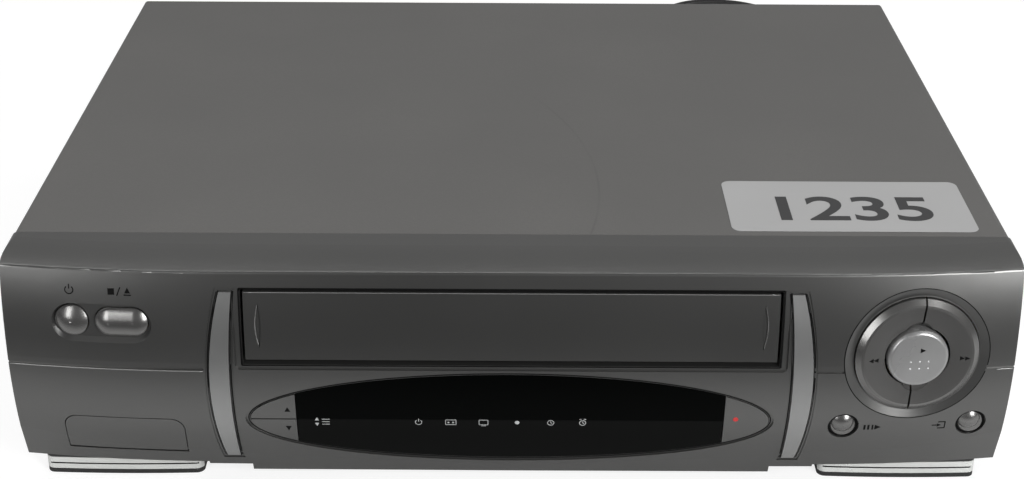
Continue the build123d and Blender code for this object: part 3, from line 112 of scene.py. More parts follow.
def revolved(profile, steps):
    # A profile of (radius, height) turned about Z: x = r cos t, y = r sin t, z = h.
    turn = circleAngles(steps)
    radius, height = np.asarray(profile, float).T
    return np.stack([np.outer(radius, np.cos(turn)), np.outer(radius, np.sin(turn)),
                     np.repeat(height[:, None], steps, 1)], -1)


def lathe(profile, steps):
    # A revolved profile with both ends closed at the axis.
    poles = [[0, 0, profile[0][1]], [0, 0, profile[-1][1]]]
    points = np.vstack([revolved(profile, steps).reshape(-1, 3), poles])
    return points, tubeFaces(len(profile), steps)


def toAxis(points, place, axis):
    # Turns +Z to the given axis, which isn't upright, and moves the origin to place.
    axis = np.asarray(axis, float) / np.linalg.norm(axis)
    side = np.cross([0.0, 0.0, 1.0], axis)
    side /= np.linalg.norm(side)
    up = np.cross(axis, side)
    return np.asarray(points) @ np.stack([side, up, axis]) + np.asarray(place)


def joined(parts):
    # Several (points, faces) as one pair.
    points, faces, start = [], [], 0
    for partPoints, partFaces in parts:
        points.append(np.asarray(partPoints))
        faces += [[v + start for v in face] for face in partFaces]
        start += len(partPoints)
    return np.vstack(points), faces


def evaluatedMesh(holder):
    graph = bpy.context.evaluated_depsgraph_get()
    return bpy.data.meshes.new_from_object(holder.evaluated_get(graph))


def applyModifiers(piece):
    done = evaluatedMesh(piece)
    piece.modifiers.clear()
    piece.data = done


def splitEdges(piece, degrees):
    # Sharp edges where two faces meet at more than this angle.
    piece.modifiers.new("edges", "EDGE_SPLIT").split_angle = math.radians(degrees)


# Node trees
def feed(tree, socket, value):
    # Links an output to a socket, or sets the socket's own value.
    if hasattr(value, "is_output"):
        tree.links.new(value, socket)
    else:
        socket.default_value = (*value[:3], 1.0) if socket.type == "RGBA" else value


def feedAll(tree, node, inputs):
    # Inputs by name, with _ for a space, or by number as n0, n1 and so on.
    for key, value in inputs.items():
        numbered = key[0] == "n" and key[1:].isdigit()
        feed(tree, node.inputs[int(key[1:]) if numbered else key.replace("_", " ")], value)


def addNode(tree, kind, **inputs):
    node = tree.nodes.new(kind)
    feedAll(tree, node, inputs)
    return node


def maths(tree, operation, *values):
    node = tree.nodes.new("ShaderNodeMath")
    node.operation = operation
    for socket, value in zip(node.inputs, values):
        feed(tree, socket, value)
    return node.outputs[0]


def mixColours(tree, factor, first, second):
    node = tree.nodes.new("ShaderNodeMix")
    node.data_type = "RGBA"
    feedAll(tree, node, {"n0": factor, "n6": first, "n7": second})
    return node.outputs[2]


def product(tree, first, *others):
    for other in others:
        first = maths(tree, "MULTIPLY", first, other)
    return first


def spread(tree, value, fromLow, fromHigh, toLow=0.0, toHigh=1.0):
    return addNode(tree, "ShaderNodeMapRange", n0=value, n1=fromLow, n2=fromHigh, n3=toLow, n4=toHigh).outputs[0]


def noise(tree, vector, scale, detail):
    return addNode(tree, "ShaderNodeTexNoise", Vector=vector, Scale=scale, Detail=detail).outputs[0]


def coordinate(tree, vector, axis):
    return addNode(tree, "ShaderNodeSeparateXYZ", Vector=vector).outputs[axis]


def axisDistance(tree, vector, centreX, centreY):
    # The step along X from an upright axis, and the distance from it: the root of both steps' squares.
    dx = maths(tree, "SUBTRACT", coordinate(tree, vector, 0), centreX)
    dy = maths(tree, "SUBTRACT", coordinate(tree, vector, 1), centreY)
    return dx, maths(tree, "SQRT", maths(tree, "ADD", product(tree, dx, dx), product(tree, dy, dy)))


def newGroup(name, inputs, outputs):
    # A socket's kind follows the count of its default's numbers. None stands for a vector that is always fed.
    kinds = {1: "NodeSocketFloat", 3: "NodeSocketVector", 4: "NodeSocketColor"}
    group = bpy.data.node_groups.new(name, "ShaderNodeTree")
    for label, value in inputs.items():
        kind = kinds[3 if value is None else np.size(value)]
        socket = group.interface.new_socket(label, in_out="INPUT", socket_type=kind)
        if value is not None:
            socket.default_value = value
    for label in outputs:
        kind = kinds[4 if label == "Color" else 1]
        group.interface.new_socket(label, in_out="OUTPUT", socket_type=kind)
    return group, group.nodes.new("NodeGroupInput").outputs, group.nodes.new("NodeGroupOutput").inputs


noiseMiddle = (0.3, 0.7)  # where most of a noise's values lie


def buildGrain():
    # Fine moulding or paint grain: a close noise for height, a wide one for tone.
    group, given, out = newGroup("fineGrain", {"Vector": None, "Grains": 1200.0, "Patches": 14.0},
                                 ("Height", "Tone"))
    group.links.new(noise(group, given["Vector"], given["Grains"], 2.0), out["Height"])
    wide = noise(group, given["Vector"], given["Patches"], 4.0)
    group.links.new(spread(group, wide, *noiseMiddle), out["Tone"])
    return group


def buildShade():
    # One colour made lighter and darker by a tone from 0 to 1.
    group, given, out = newGroup("toneShade", {"Color": (0.5, 0.5, 0.5, 1), "Tone": 0.5, "Swing": 0.1},
                                 ("Color",))
    swing = product(group, maths(group, "SUBTRACT", given["Tone"], 0.5), given["Swing"])
    level = maths(group, "ADD", swing, 1.0)
    hue = addNode(group, "ShaderNodeHueSaturation", Value=level, Color=given["Color"])
    group.links.new(hue.outputs[0], out["Color"])
    return group


dustLook = {"colour": (0.42, 0.40, 0.37, 1), "patches": 16.0, "patchSpan": (0.35, 0.75, 0.2, 1.0),
            "specks": 900.0, "speckSpan": (0.45, 0.7, 0.5, 1.0), "steepness": 3.0}


def buildDust():
    # Dust lies where the surface faces up, thicker in wide patches and in small specks.
    look = dustLook
    inputs = {"Vector": None, "Color": (0.1, 0.1, 0.1, 1), "Dust Color": look["colour"], "Amount": 0.1}
    group, given, out = newGroup("settledDust", inputs, ("Color",))
    up = coordinate(group, addNode(group, "ShaderNodeNewGeometry").outputs["Normal"], 2)
    facing = maths(group, "POWER", maths(group, "MAXIMUM", up, 0.0), look["steepness"])
    patches = spread(group, noise(group, given["Vector"], look["patches"], 6.0), *look["patchSpan"])
    specks = spread(group, noise(group, given["Vector"], look["specks"], 1.0), *look["speckSpan"])
    cover = product(group, facing, patches, specks, given["Amount"])
    group.links.new(mixColours(group, cover, given["Color"], given["Dust Color"]), out["Color"])
    return group


def buildHairlines():
    # Brushed or rolled lines: noise drawn out along one axis by the stretch vector.
    group, given, out = newGroup("hairlines", {"Vector": None, "Stretch": (40.0, 2500.0, 2500.0)},
                                 ("Height", "Tone"))
    drawn = group.nodes.new("ShaderNodeVectorMath")
    drawn.operation = "MULTIPLY"
    group.links.new(given["Vector"], drawn.inputs[0])
    group.links.new(given["Stretch"], drawn.inputs[1])
    lines = noise(group, drawn.outputs[0], 1.0, 3.0)
    group.links.new(lines, out["Height"])
    group.links.new(spread(group, lines, *noiseMiddle), out["Tone"])
    return group


def buildRings():
    # Turning marks: a sine of the distance from an upright axis.
    inputs = {"Vector": None, "Centre X": 0.0, "Centre Y": 0.0, "Pitch": 0.0004}
    group, given, out = newGroup("turnedRings", inputs, ("Height",))
    away = axisDistance(group, given["Vector"], given["Centre X"], given["Centre Y"])[1]
    phase = maths(group, "DIVIDE", product(group, away, 2 * math.pi), given["Pitch"])
    group.links.new(spread(group, maths(group, "SINE", phase), -1.0, 1.0), out["Height"])
    return group


groups = {"grain": buildGrain(), "shade": buildShade(), "dust": buildDust(),
          "lines": buildHairlines(), "rings": buildRings()}


def place(tree, name, **inputs):
    # Puts a shared effect into a material.
    node = tree.nodes.new("ShaderNodeGroup")
    node.node_tree = groups[name]
    feedAll(tree, node, inputs)
    return node.outputs


def startMaterial(name, **shader):
    # An empty material: its tree, its shader and the object coordinates.
    material = bpy.data.materials.new(name)
    material.use_nodes = True
    tree = material.node_tree
    principled = tree.nodes["Principled BSDF"]
    for key, value in shader.items():
        principled.inputs[key.replace("_", " ")].default_value = value
    return material, tree, principled, tree.nodes.new("ShaderNodeTexCoord").outputs["Object"]


def bumped(tree, principled, height, look):
    bump = addNode(tree, "ShaderNodeBump", Height=height, Distance=look["depth"], Strength=look["strength"])
    tree.links.new(bump.outputs[0], principled.inputs["Normal"])


def grained(tree, where, look):
    return place(tree, "grain", Vector=where, Grains=look["grains"], Patches=look["patches"])


def patchTone(tree, where, patches):
    return place(tree, "grain", Vector=where, Patches=patches)["Tone"]


def shaded(tree, colour, tone, swing):
    return place(tree, "shade", Color=colour, Tone=tone, Swing=swing)["Color"]


def dusted(tree, where, colour, amount):
    return place(tree, "dust", Vector=where, Color=colour, Amount=amount)["Color"]


def surfaced(tree, principled, colour, tone, height, look):
    # The last steps of a finish: its colour, its gloss that follows a tone, and its relief.
    tree.links.new(colour, principled.inputs["Base Color"])
    tree.links.new(spread(tree, tone, 0.0, 1.0, *look["rough"]), principled.inputs["Roughness"])
    bumped(tree, principled, height, look)


usualPlastic = {"grains": 1100.0, "depth": 0.00004, "rough": (0.3, 0.4), "patches": 14.0, "swing": 0.12,
                "dust": 0.05, "strength": 0.6, "metallic": 0.0, "specular": 0.5}


def paintedPlastic(name, ownLook):
    # Moulded or painted surface with grain, patches of tone, uneven gloss and a little dust on top.
    look = {**usualPlastic, **ownLook}
    shader = {"Metallic": look["metallic"], "Specular_IOR_Level": look["specular"]}
    material, tree, principled, where = startMaterial(name, **shader)
    grain = grained(tree, where, look)
    colour = shaded(tree, look["colour"], grain["Tone"], look["swing"])
    surfaced(tree, principled, dusted(tree, where, colour, look["dust"]), grain["Tone"], grain["Height"], look)
    return material


usualMetal = {"metallic": 1.0, "patches": 30.0, "swing": 0.25, "strength": 0.5}


def drawnMetal(name, ownLook):
    # Rolled, brushed or plated metal: lines along one axis, and tone in patches or along the lines.
    look = {**usualMetal, **ownLook}
    material, tree, principled, where = startMaterial(name, Metallic=look["metallic"])
    lines = place(tree, "lines", Vector=where, Stretch=look["stretch"])
    tone = patchTone(tree, where, look["patches"]) if look["patches"] else lines["Tone"]
    colour = shaded(tree, look["colour"], tone, look["swing"])
    surfaced(tree, principled, colour, lines["Tone"], lines["Height"], look)
    return material


usualTurned = {"patches": 60.0, "swing": 0.15, "rough": (0.18, 0.32), "depth": 0.00002, "strength": 0.5}


def turnedMetal(name, ownLook):
    # Lathe-turned aluminium or steel: rings about the part's own upright axis.
    look = {**usualTurned, **ownLook}
    x, y, pitch = np.array([*look["centre"], look["pitch"]]) * mm
    material, tree, principled, where = startMaterial(name, Metallic=1.0)
    rings = place(tree, "rings", Vector=where, Centre_X=x, Centre_Y=y, Pitch=pitch)["Height"]
    colour = shaded(tree, look["colour"], patchTone(tree, where, look["patches"]), look["swing"])
    surfaced(tree, principled, colour, rings, rings, look)
    return material


# Paint of the steel cover: close texture, and one faint curved rub mark across the top
coverLook = {
    "colour": (0.118, 0.116, 0.112), "grains": 2100.0, "patches": 9.0, "swing": 0.08, "dust": 0.05,
    "rough": (0.50, 0.60), "depth": 0.00007, "strength": 0.7,
    "speckle": {"grains": 5200.0, "patches": 60.0, "swing": 0.5},
    "rub": {"centre": (-157.0 * mm, -75.0 * mm), "radius": 190.0 * mm, "width": 0.7 * mm,
            "begins": (150.0 * mm, 175.0 * mm), "patches": 30.0, "patchSpan": (0.2, 0.9, 0.1, 1.0),
            "colour": (0.05, 0.05, 0.05), "amount": 0.35},
}


def rubMark(tree, where):
    # How much of the rub shows: near its circle, on the right part of it, and uneven along it.
    rub = coverLook["rub"]
    dx, away = axisDistance(tree, where, *rub["centre"])
    off = maths(tree, "ABSOLUTE", maths(tree, "SUBTRACT", away, rub["radius"]))
    onArc = spread(tree, off, 0.0, rub["width"], 1.0, 0.0)
    toRight = spread(tree, dx, *rub["begins"])
    fading = spread(tree, patchTone(tree, where, rub["patches"]), *rub["patchSpan"])
    return product(tree, onArc, toRight, fading, rub["amount"])


def coverPaint():
    look = coverLook
    fleck = look["speckle"]
    material, tree, principled, where = startMaterial("coverPaint")
    grain = grained(tree, where, look)
    toned = shaded(tree, look["colour"], grain["Tone"], look["swing"])
    flecked = shaded(tree, toned, grained(tree, where, fleck)["Height"], fleck["swing"])
    rubbed = mixColours(tree, rubMark(tree, where), flecked, look["rub"]["colour"])
    surfaced(tree, principled, dusted(tree, where, rubbed, look["dust"]), grain["Tone"], grain["Height"], look)
    return material


# Smoked window: the band in front of the display is clear black, the part below it is printed dark grey
windowLook = {
    "clear": (0.0008, 0.0010, 0.0009), "printed": (0.0050, 0.0052, 0.0050),
    "level": 31.7 * mm, "soft": 0.4 * mm, "specular": 0.03, "smears": 26.0,
    "rough": (0.07, 0.16), "depth": 0.00004, "strength": 0.3,
}


def windowPlastic():
    look = windowLook
    material, tree, principled, where = startMaterial("smokedWindow", Specular_IOR_Level=look["specular"])
    height = coordinate(tree, where, 2)
    low = spread(tree, height, look["level"] - look["soft"], look["level"] + look["soft"], 1.0, 0.0)
    smears = patchTone(tree, where, look["smears"])
    surfaced(tree, principled, mixColours(tree, low, look["clear"], look["printed"]), smears, smears, look)
    return material


# Board laminate: paper laminate with printed tracks and rows of solder
boardLook = {
    "laminate": (0.30, 0.19, 0.08), "track": (0.16, 0.20, 0.06), "solder": (0.55, 0.55, 0.56), "rough": 0.5,
    "gap": 1.1 * mm, "gapSoft": 0.1, "trackLong": 17.0 * mm, "trackWide": 4.2 * mm, "shift": 0.37,
    "squash": 1.6, "pads": 210.0, "padJitter": 0.35, "padEdge": (0.10, 0.16), "solderMetal": 0.9,
    "depth": 0.00008, "strength": 0.8,
}


def boardLaminate():
    look = boardLook
    material, tree, principled, where = startMaterial("boardLaminate", Roughness=look["rough"])
    tracks = addNode(tree, "ShaderNodeTexBrick", Vector=where, Scale=1.0, Mortar_Size=look["gap"],
                     Mortar_Smooth=look["gapSoft"], Brick_Width=look["trackLong"], Row_Height=look["trackWide"])
    tracks.offset, tracks.squash = look["shift"], look["squash"]
    cells = addNode(tree, "ShaderNodeTexVoronoi", Vector=where, Scale=look["pads"], Randomness=look["padJitter"])
    pads = spread(tree, cells.outputs["Distance"], *look["padEdge"], 1.0, 0.0)
    tracked = mixColours(tree, tracks.outputs["Fac"], look["laminate"], look["track"])
    tree.links.new(mixColours(tree, pads, tracked, look["solder"]), principled.inputs["Base Color"])
    tree.links.new(spread(tree, pads, 0.0, 1.0, 0.0, look["solderMetal"]), principled.inputs["Metallic"])
    bumped(tree, principled, maths(tree, "ADD", tracks.outputs["Fac"], pads), look)
    return material


usualSplit = {"grains": 900.0, "patches": 80.0, "swing": 0.15, "plasticRough": 0.5,
              "metalRough": (0.224, 0.336), "depth": 0.00004, "strength": 0.5}


def splitMetal(name, ownLook):
    # One moulding with metal on one side of a level along Y, and plastic on the other.
    look = {**usualSplit, **ownLook}
    material, tree, principled, where = startMaterial(name)
    metal = maths(tree, look["metalIs"], coordinate(tree, where, 1), look["level"] * mm)
    grain = grained(tree, where, look)
    tones = [shaded(tree, look[key], grain["Tone"], look["swing"]) for key in ("plastic", "plating")]
    tree.links.new(metal, principled.inputs["Metallic"])
    gloss = (look["plasticRough"], spread(tree, grain["Tone"], 0.0, 1.0, *look["metalRough"]))
    surfaced(tree, principled, mixColours(tree, metal, *tones), metal, grain["Height"], {**look, "rough": gloss})
    return material


panelPaint = {"grains": 3000.0, "depth": 0.00002, "rough": (0.27, 0.31), "patches": 7.0, "swing": 0.06,
              "metallic": 0.80}
finePaint = {"grains": 2600.0, "depth": 0.00002}
thinPaint = {"grains": 2500.0, "depth": 0.00001, "dust": 0.0}
plasticLooks = {
    "frontPaint": {**panelPaint, "colour": (0.150, 0.150, 0.147), "dust": 0.03},
    "doorPaint": {**panelPaint, "colour": (0.140, 0.140, 0.137), "dust": 0.02},
    "keyPaint": {**finePaint, "colour": (0.200, 0.198, 0.194), "rough": (0.22, 0.27), "patches": 40.0,
                 "swing": 0.10, "dust": 0.03, "metallic": 0.75},
    "playPaint": {**finePaint, "colour": (0.36, 0.36, 0.36), "rough": (0.25, 0.33), "patches": 60.0,
                  "swing": 0.08, "dust": 0.02, "metallic": 0.5},
    "silverPaint": {**finePaint, "colour": (0.340, 0.342, 0.340), "grains": 2400.0, "rough": (0.30, 0.38),
                    "patches": 30.0, "metallic": 0.70},
    # Lighter metallic paint laid on edges and lips as a painted highlight
    "edgeShine": {**thinPaint, "colour": (0.34, 0.34, 0.335), "grains": 2600.0, "rough": (0.3, 0.38),
                  "metallic": 0.6},
    "brightTrim": {**thinPaint, "colour": (0.80, 0.81, 0.79), "grains": 2400.0, "rough": (0.2, 0.3),
                   "patches": 30.0, "swing": 0.1, "dust": 0.03, "metallic": 0.55},
    "dotPaint": {**thinPaint, "colour": (0.78, 0.79, 0.80), "grains": 2600.0},
    "footPlastic": {"colour": (0.018, 0.018, 0.018), "grains": 1500.0, "depth": 0.00006, "rough": (0.42, 0.55)},
    "softRubber": {"colour": (0.012, 0.012, 0.012), "grains": 700.0, "depth": 0.0001, "rough": (0.65, 0.8),
                   "dust": 0.15},
    "leadPlastic": {"colour": (0.011, 0.011, 0.012), "grains": 600.0, "depth": 0.00008, "rough": (0.36, 0.48),
                    "dust": 0.10},
    "gearPlastic": {"colour": (0.62, 0.61, 0.57), "grains": 900.0, "rough": (0.35, 0.45), "patches": 50.0},
    "socketPlastic": {"colour": (0.014, 0.014, 0.015), "depth": 0.00005, "rough": (0.38, 0.5)},
    "yellowInsert": {"colour": (0.68, 0.44, 0.02)},
    "whiteInsert": {"colour": (0.72, 0.71, 0.68)},
    "redInsert": {"colour": (0.50, 0.018, 0.015)},
    # Near-black ink for printed signs; the same ink is laid as painted shade in recesses, gaps and the trim
    # groove
    "darkInk": {**thinPaint, "colour": (0.003, 0.003, 0.003), "rough": (0.5, 0.6), "specular": 0.12},
    "stampInk": {**thinPaint, "colour": (0.040, 0.040, 0.041), "rough": (0.5, 0.6)},
    "paleInk": {**thinPaint, "colour": (0.45, 0.46, 0.46), "rough": (0.4, 0.5)},
    "redInk": {**thinPaint, "colour": (0.52, 0.03, 0.03), "rough": (0.4, 0.5)},
    "labelPaper": {"colour": (0.43, 0.43, 0.43), "grains": 1800.0, "depth": 0.00003, "rough": (0.5, 0.6),
                   "patches": 22.0, "swing": 0.05},
}
metalLooks = {
    "zincSheet": {"colour": (0.50, 0.50, 0.49), "stretch": (60.0, 1400.0, 1400.0), "depth": 0.00004,
                  "rough": (0.3, 0.45)},
    "darkScrew": {"colour": (0.10, 0.10, 0.10), "stretch": (900.0, 900.0, 900.0), "depth": 0.00003,
                  "rough": (0.3, 0.42)},
    "polishedSteel": {"colour": (0.62, 0.61, 0.60), "stretch": (500.0, 500.0, 60.0), "depth": 0.00002,
                      "rough": (0.1, 0.22)},
    "laminatedIron": {"colour": (0.16, 0.15, 0.14), "stretch": (60.0, 2200.0, 60.0), "depth": 0.0002,
                      "rough": (0.35, 0.6), "metallic": 0.6, "patches": None, "swing": 0.7, "strength": 0.8},
}
turnedLooks = {
    "turnedDrum": {"colour": (0.62, 0.63, 0.65), "centre": (0.0, 38.0), "pitch": 0.9},
    "turnedFlywheel": {"colour": (0.55, 0.55, 0.56), "centre": (66.0, 8.0), "pitch": 0.8},
    "turnedCap": {"colour": (0.60, 0.60, 0.61), "centre": (0.0, 38.0), "pitch": 2.4},
}
jackTones = {"plastic": (0.014, 0.014, 0.015), "plating": (0.66, 0.63, 0.58)}
splitLooks = {
    "rearBarrels": {**jackTones, "metalIs": "GREATER_THAN", "level": 141.6},
    "frontBarrels": {**jackTones, "metalIs": "LESS_THAN", "level": -126.2},
    "plugBody": {"metalIs": "LESS_THAN", "level": 247.5, "plastic": (0.011, 0.011, 0.012),
                 "plating": (0.62, 0.60, 0.55)},
}
finishes = {"coverPaint": coverPaint(), "smokedWindow": windowPlastic(), "boardLaminate": boardLaminate()}
for build, looks in ((paintedPlastic, plasticLooks), (drawnMetal, metalLooks), (turnedMetal, turnedLooks),
                     (splitMetal, splitLooks)):
    finishes.update({name: build(name, look) for name, look in looks.items()})
print("finishes built:", len(finishes))

nodeFinish = {
    "frontPaint": ["front_panel", "av_flap", "channel_up_button", "channel_down_button", "record_button"],
    "doorPaint": ["cassette_door"],
    "keyPaint": ["power_button", "stop_eject_button", "rewind_button", "fast_forward_button", "pause_button",
                 "input_select_button"],
    "playPaint": ["play_button"],
    "silverPaint": ["left_trim_strip", "right_trim_strip"],
    "smokedWindow": ["display_window"],
    "coverPaint": ["top_cover"],
    "brightTrim": ["foot_trims"],
    "footPlastic": ["front_left_foot", "front_right_foot"],
    "softRubber": ["rear_feet", "capstan_belt", "pinch_roller", "idler_wheel"],
    "boardLaminate": ["main_board", "power_board", "key_board"],
    "laminatedIron": ["transformer"],
    "zincSheet": ["bottom_plate", "rear_panel", "deck_chassis", "carriage_frame", "cassette_tray", "tuner_module",
                  "pinch_arm", "idler_arm", "loading_motor", "erase_head", "audio_control_head"],
    "gearPlastic": ["supply_reel", "take_up_reel", "slide_racks", "carriage_pinion", "cam_gear", "drive_pulley"],
    "polishedSteel": ["supply_guide_post", "take_up_guide_post", "door_spring"],
    "turnedDrum": ["lower_drum"],
    "turnedCap": ["upper_drum"],
    "turnedFlywheel": ["capstan"],
    "socketPlastic": ["scart_sockets", "display_tube"],
    "rearBarrels": ["rear_jacks"],
    "frontBarrels": ["front_sockets"],
    "leadPlastic": ["mains_lead", "mains_lead_coil", "lead_sleeve"],
    "plugBody": ["mains_plug"],
    "darkScrew": ["cover_screws"],
}
for finish, names in nodeFinish.items():
    for name in names:
        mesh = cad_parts[name].data
        mesh.materials.clear()
        mesh.materials.append(finishes[finish])
unfinished = set(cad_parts) - {name for names in nodeFinish.values() for name in names}
assert not unfinished, unfinished
print("frame nodes finished:", len(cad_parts))


def finishPiece(piece, finish, body, slotName, *replaced):
    piece.data.materials.append(finishes[finish])
    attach(piece, body)
    if replaced:
        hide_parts(*replaced)
    return piece


# Mains lead: out of its bushing, down to the table and back to a tied coil, with the plug beside the coil
leadLook = {
    "diameter": 6.0 * mm, "length": 1.8, "roundness": 5, "smoothness": 5, "pointsPerTurn": 20, "jog": 0.22,
    "route": [(140.5, 168.5, 24.0), (140.5, 198.5, 24.0), (143.5, 244.5, 3.05), (151.5, 281.5, 3.05),
              (166.2, 311.0, 3.05)],
    "centre": (128.2, 338.0),
    "turns": [(40.5, 3.05), (34.8, 3.05), (29.0, 3.05), (32.0, 8.3), (38.0, 8.3), (40.2, 13.4), (34.5, 13.4),
              (34.5, 13.9)],
    "plugLine": (81.2, 326.0, 6.9), "leaving": 0.5, "spreading": 0.75, "sinkingFrom": 0.6,
}


def eased(share):
    # From 0 to 1 with a level start and end: 3 s^2 - 2 s^3.
    return share * share * (3 - 2 * share)


def coilPoints():
    # Turns side by side and on each other: radius and height hold for most of a turn, then ease to the next.
    # In its last half turn the lead spreads and sinks to the plug's line.
    look = leadLook
    per, turns = look["pointsPerTurn"], np.array(look["turns"])
    whole = len(turns) - 1
    step = np.arange(int(per * (whole + look["leaving"])) + 1) / per
    lap = np.minimum(step.astype(int), whole)
    following = np.minimum(lap + 1, whole)
    ease = eased(np.clip((step - lap - 1 + look["jog"]) / look["jog"], 0, 1))[:, None]
    radius, height = (turns[lap] + (turns[following] - turns[lap]) * ease).T
    leaving = np.clip((step - whole) / look["leaving"], 0, 1)
    reach = look["centre"][0] - look["plugLine"][0]
    radius = radius + (reach - radius) * np.clip(leaving / look["spreading"], 0, 1) ** 1.3
    sinking = np.clip((leaving - look["sinkingFrom"]) / (1 - look["sinkingFrom"]), 0, 1)
    height = height + (look["plugLine"][2] - height) * eased(sinking)
    swell = 1 / math.cos(math.pi / per)
    angle = 2 * np.pi * step
    x = look["centre"][0] + radius * swell * np.cos(angle)
    y = look["centre"][1] + radius * swell * np.sin(angle)
    return np.column_stack([x, y, height])


def makeLead():
    look = leadLook
    points = np.vstack([look["route"], coilPoints(), [look["plugLine"]]]) * mm
    curve = bpy.data.curves.new("mainsLeadLine", "CURVE")
    settle(curve, dimensions="3D", bevel_depth=look["diameter"] / 2, bevel_resolution=look["roundness"],
           resolution_u=look["smoothness"], use_fill_caps=True)
    spline = curve.splines.new("NURBS")
    spline.points.add(len(points) - 1)
    spline.points.foreach_set("co", np.column_stack([points, np.ones(len(points))]).ravel())
    settle(spline, order_u=3, use_endpoint_u=True)
    piece = newObject("mainsLead", curve)
    return finishPiece(piece, "leadPlastic", "casing", "lead_plastic", "mains_lead", "mains_lead_coil")


bushingLook = {
    "x": 140.5, "z": 24.0, "start": 138.3, "wall": 141.5, "tip": 168.5, "bore": 3.2, "tipBore": 3.05,
    "flange": 7.6, "neck": 6.0, "inner": 1.1, "outer": 1.6, "edge": (0.5, 0.4),
    "root": 6.0, "end": 4.1, "ribs": 6, "phase": 1.2, "groove": 0.75, "ribbed": (0.12, 0.93), "steps": (121, 64),
}


def makeBushing():
    # A taper with square-edged grooves: radius falls evenly, less a groove where a sine of the length is high.
    look = bushingLook
    outer, flange, neck = look["outer"], look["flange"], look["neck"]
    length = look["tip"] - look["wall"] - outer
    along = np.linspace(0, 1, look["steps"][0])
    radius = look["root"] + (look["end"] - look["root"]) * along
    wave = np.clip(np.sin(2 * np.pi * look["ribs"] * along - look["phase"]) * 3, 0, 1)
    first, last = look["ribbed"]
    radius = radius - look["groove"] * wave * (along > first) * (along < last)
    inside = look["wall"] - look["start"]
    back, down = look["edge"]
    profile = [(look["bore"], -inside), (flange, -inside), (flange, -look["inner"]), (neck, -look["inner"]),
               (neck, 0.0), (flange, 0.0), (flange, outer - down), (flange - back, outer)]
    profile += np.column_stack([radius, outer + along * length]).tolist()
    profile += [(look["tipBore"], outer + length)]
    points, faces = lathe(profile, look["steps"][1])
    piece = meshObject("leadBushing", toAxis(points, (look["x"], look["wall"], look["z"]), (0, 1, 0)) * mm, faces)
    splitEdges(piece, 50)
    return finishPiece(piece, "leadPlastic", "casing", "lead_plastic", "lead_sleeve")


tieLook = {
    "angle": 250.0, "wide": 5.0, "thick": 0.7, "halfAcross": 9.6, "top": 17.0, "radius": 35.0, "squareness": 3.2,
    "lowest": 0.03, "steps": 64,
    "section": ((-0.5, 0.0), (-0.42, 1.0), (0.42, 1.0), (0.5, 0.0), (0.42, -0.2), (-0.42, -0.2)),
}


def makeTie():
    # A strap round the bundle: a superellipse in the plane across the turns, swept over its width.
    look = tieLook
    turn = circleAngles(look["steps"])
    power = 2 / look["squareness"]
    across = np.sign(np.cos(turn)) * np.abs(np.cos(turn)) ** power
    up = np.sign(np.sin(turn)) * np.abs(np.sin(turn)) ** power
    aside, grow = np.array(look["section"]).T[..., None]
    reach = look["halfAcross"] + grow * look["thick"] / 2
    top = look["top"] + grow * look["thick"] / 2
    outward, sideways = across * reach, aside * look["wide"] + 0 * turn
    upward = np.maximum(top / 2 + up * top / 2, look["lowest"])
    angle = math.radians(look["angle"])
    out = np.array([math.cos(angle), math.sin(angle), 0.0])
    along = np.array([-out[1], out[0], 0.0])
    middle = np.array([*leadLook["centre"], 0.0]) + out * look["radius"]
    points = middle + np.stack([outward, sideways, upward], -1) @ np.stack([out, along, [0.0, 0.0, 1.0]])
    faces = gridFaces(len(look["section"]), look["steps"], True, True)
    return finishPiece(meshObject("leadTie", points * mm, faces), "softRubber", "casing", "rubber")


lead = makeLead()
bushing = makeBushing()
tie = makeTie()
print("mains lead laid")


# Printed marks, painted shade and painted highlights: flat outlines in X and Z, laid onto the surface behind them
rayStart = -220.0  # a plane in front of everything


def edged(corners, per=5):
    # A closed outline with extra points along each side.
    corners = np.asarray(corners, float)
    following = np.roll(corners, -1, 0)
    share = np.linspace(0, 1, per, endpoint=False)[None, :, None]
    return (corners[:, None] + share * (following - corners)[:, None]).reshape(-1, 2)


def filled(outline, rings=4):
    # From the outline's middle (u = 0) to its edge (u = 1).
    middle = outline.mean(0)
    share = np.linspace(0, 1, rings + 1)[1:, None, None]
    points = np.vstack([[middle], (middle + share * (outline - middle)).reshape(-1, 2)])
    count = len(outline)
    around = np.arange(count)
    faces = gridFaces(rings, count, wrapColumns=True, start=1)[:, ::-1].tolist()
    faces += np.stack([np.zeros(count, int), around + 1, (around + 1) % count + 1], -1).tolist()
    return points, faces


def disc(x, z, radius, steps=28):
    turn = circleAngles(steps)
    return filled(np.column_stack([x + radius * np.cos(turn), z + radius * np.sin(turn)]))


def triangle(x, z, high, direction):
    # Direction in degrees: 0 points right, 90 up.
    base = np.array([[0.6, 0.0], [-0.4, 0.5], [-0.4, -0.5]]) * high
    c, s = math.cos(math.radians(direction)), math.sin(math.radians(direction))
    return filled(edged(base @ np.array([[c, s], [-s, c]]) + [x, z]))


def boxCorners(x, z, wide, high):
    return np.array([[-1, -1], [1, -1], [1, 1], [-1, 1]]) * [wide / 2, high / 2] + [x, z]


def bar(x, z, wide, high):
    return filled(edged(boxCorners(x, z, wide, high)))


def band(path, wide):
    # A line of even width: the path moved half the width to each side.
    path = np.asarray(path, float)
    ahead = np.gradient(path, axis=0)
    normal = np.column_stack([-ahead[:, 1], ahead[:, 0]]) / np.linalg.norm(ahead, axis=1)[:, None]
    points = np.vstack([path + normal * wide / 2, path, path - normal * wide / 2])
    return points, gridFaces(3, len(path))[:, ::-1].tolist()


def boxLine(x, z, wide, high, stroke):
    # Round a box and back to its first corner.
    outline = edged(boxCorners(x, z, wide, high), 4)
    return band(np.vstack([outline, outline[:1]]), stroke)


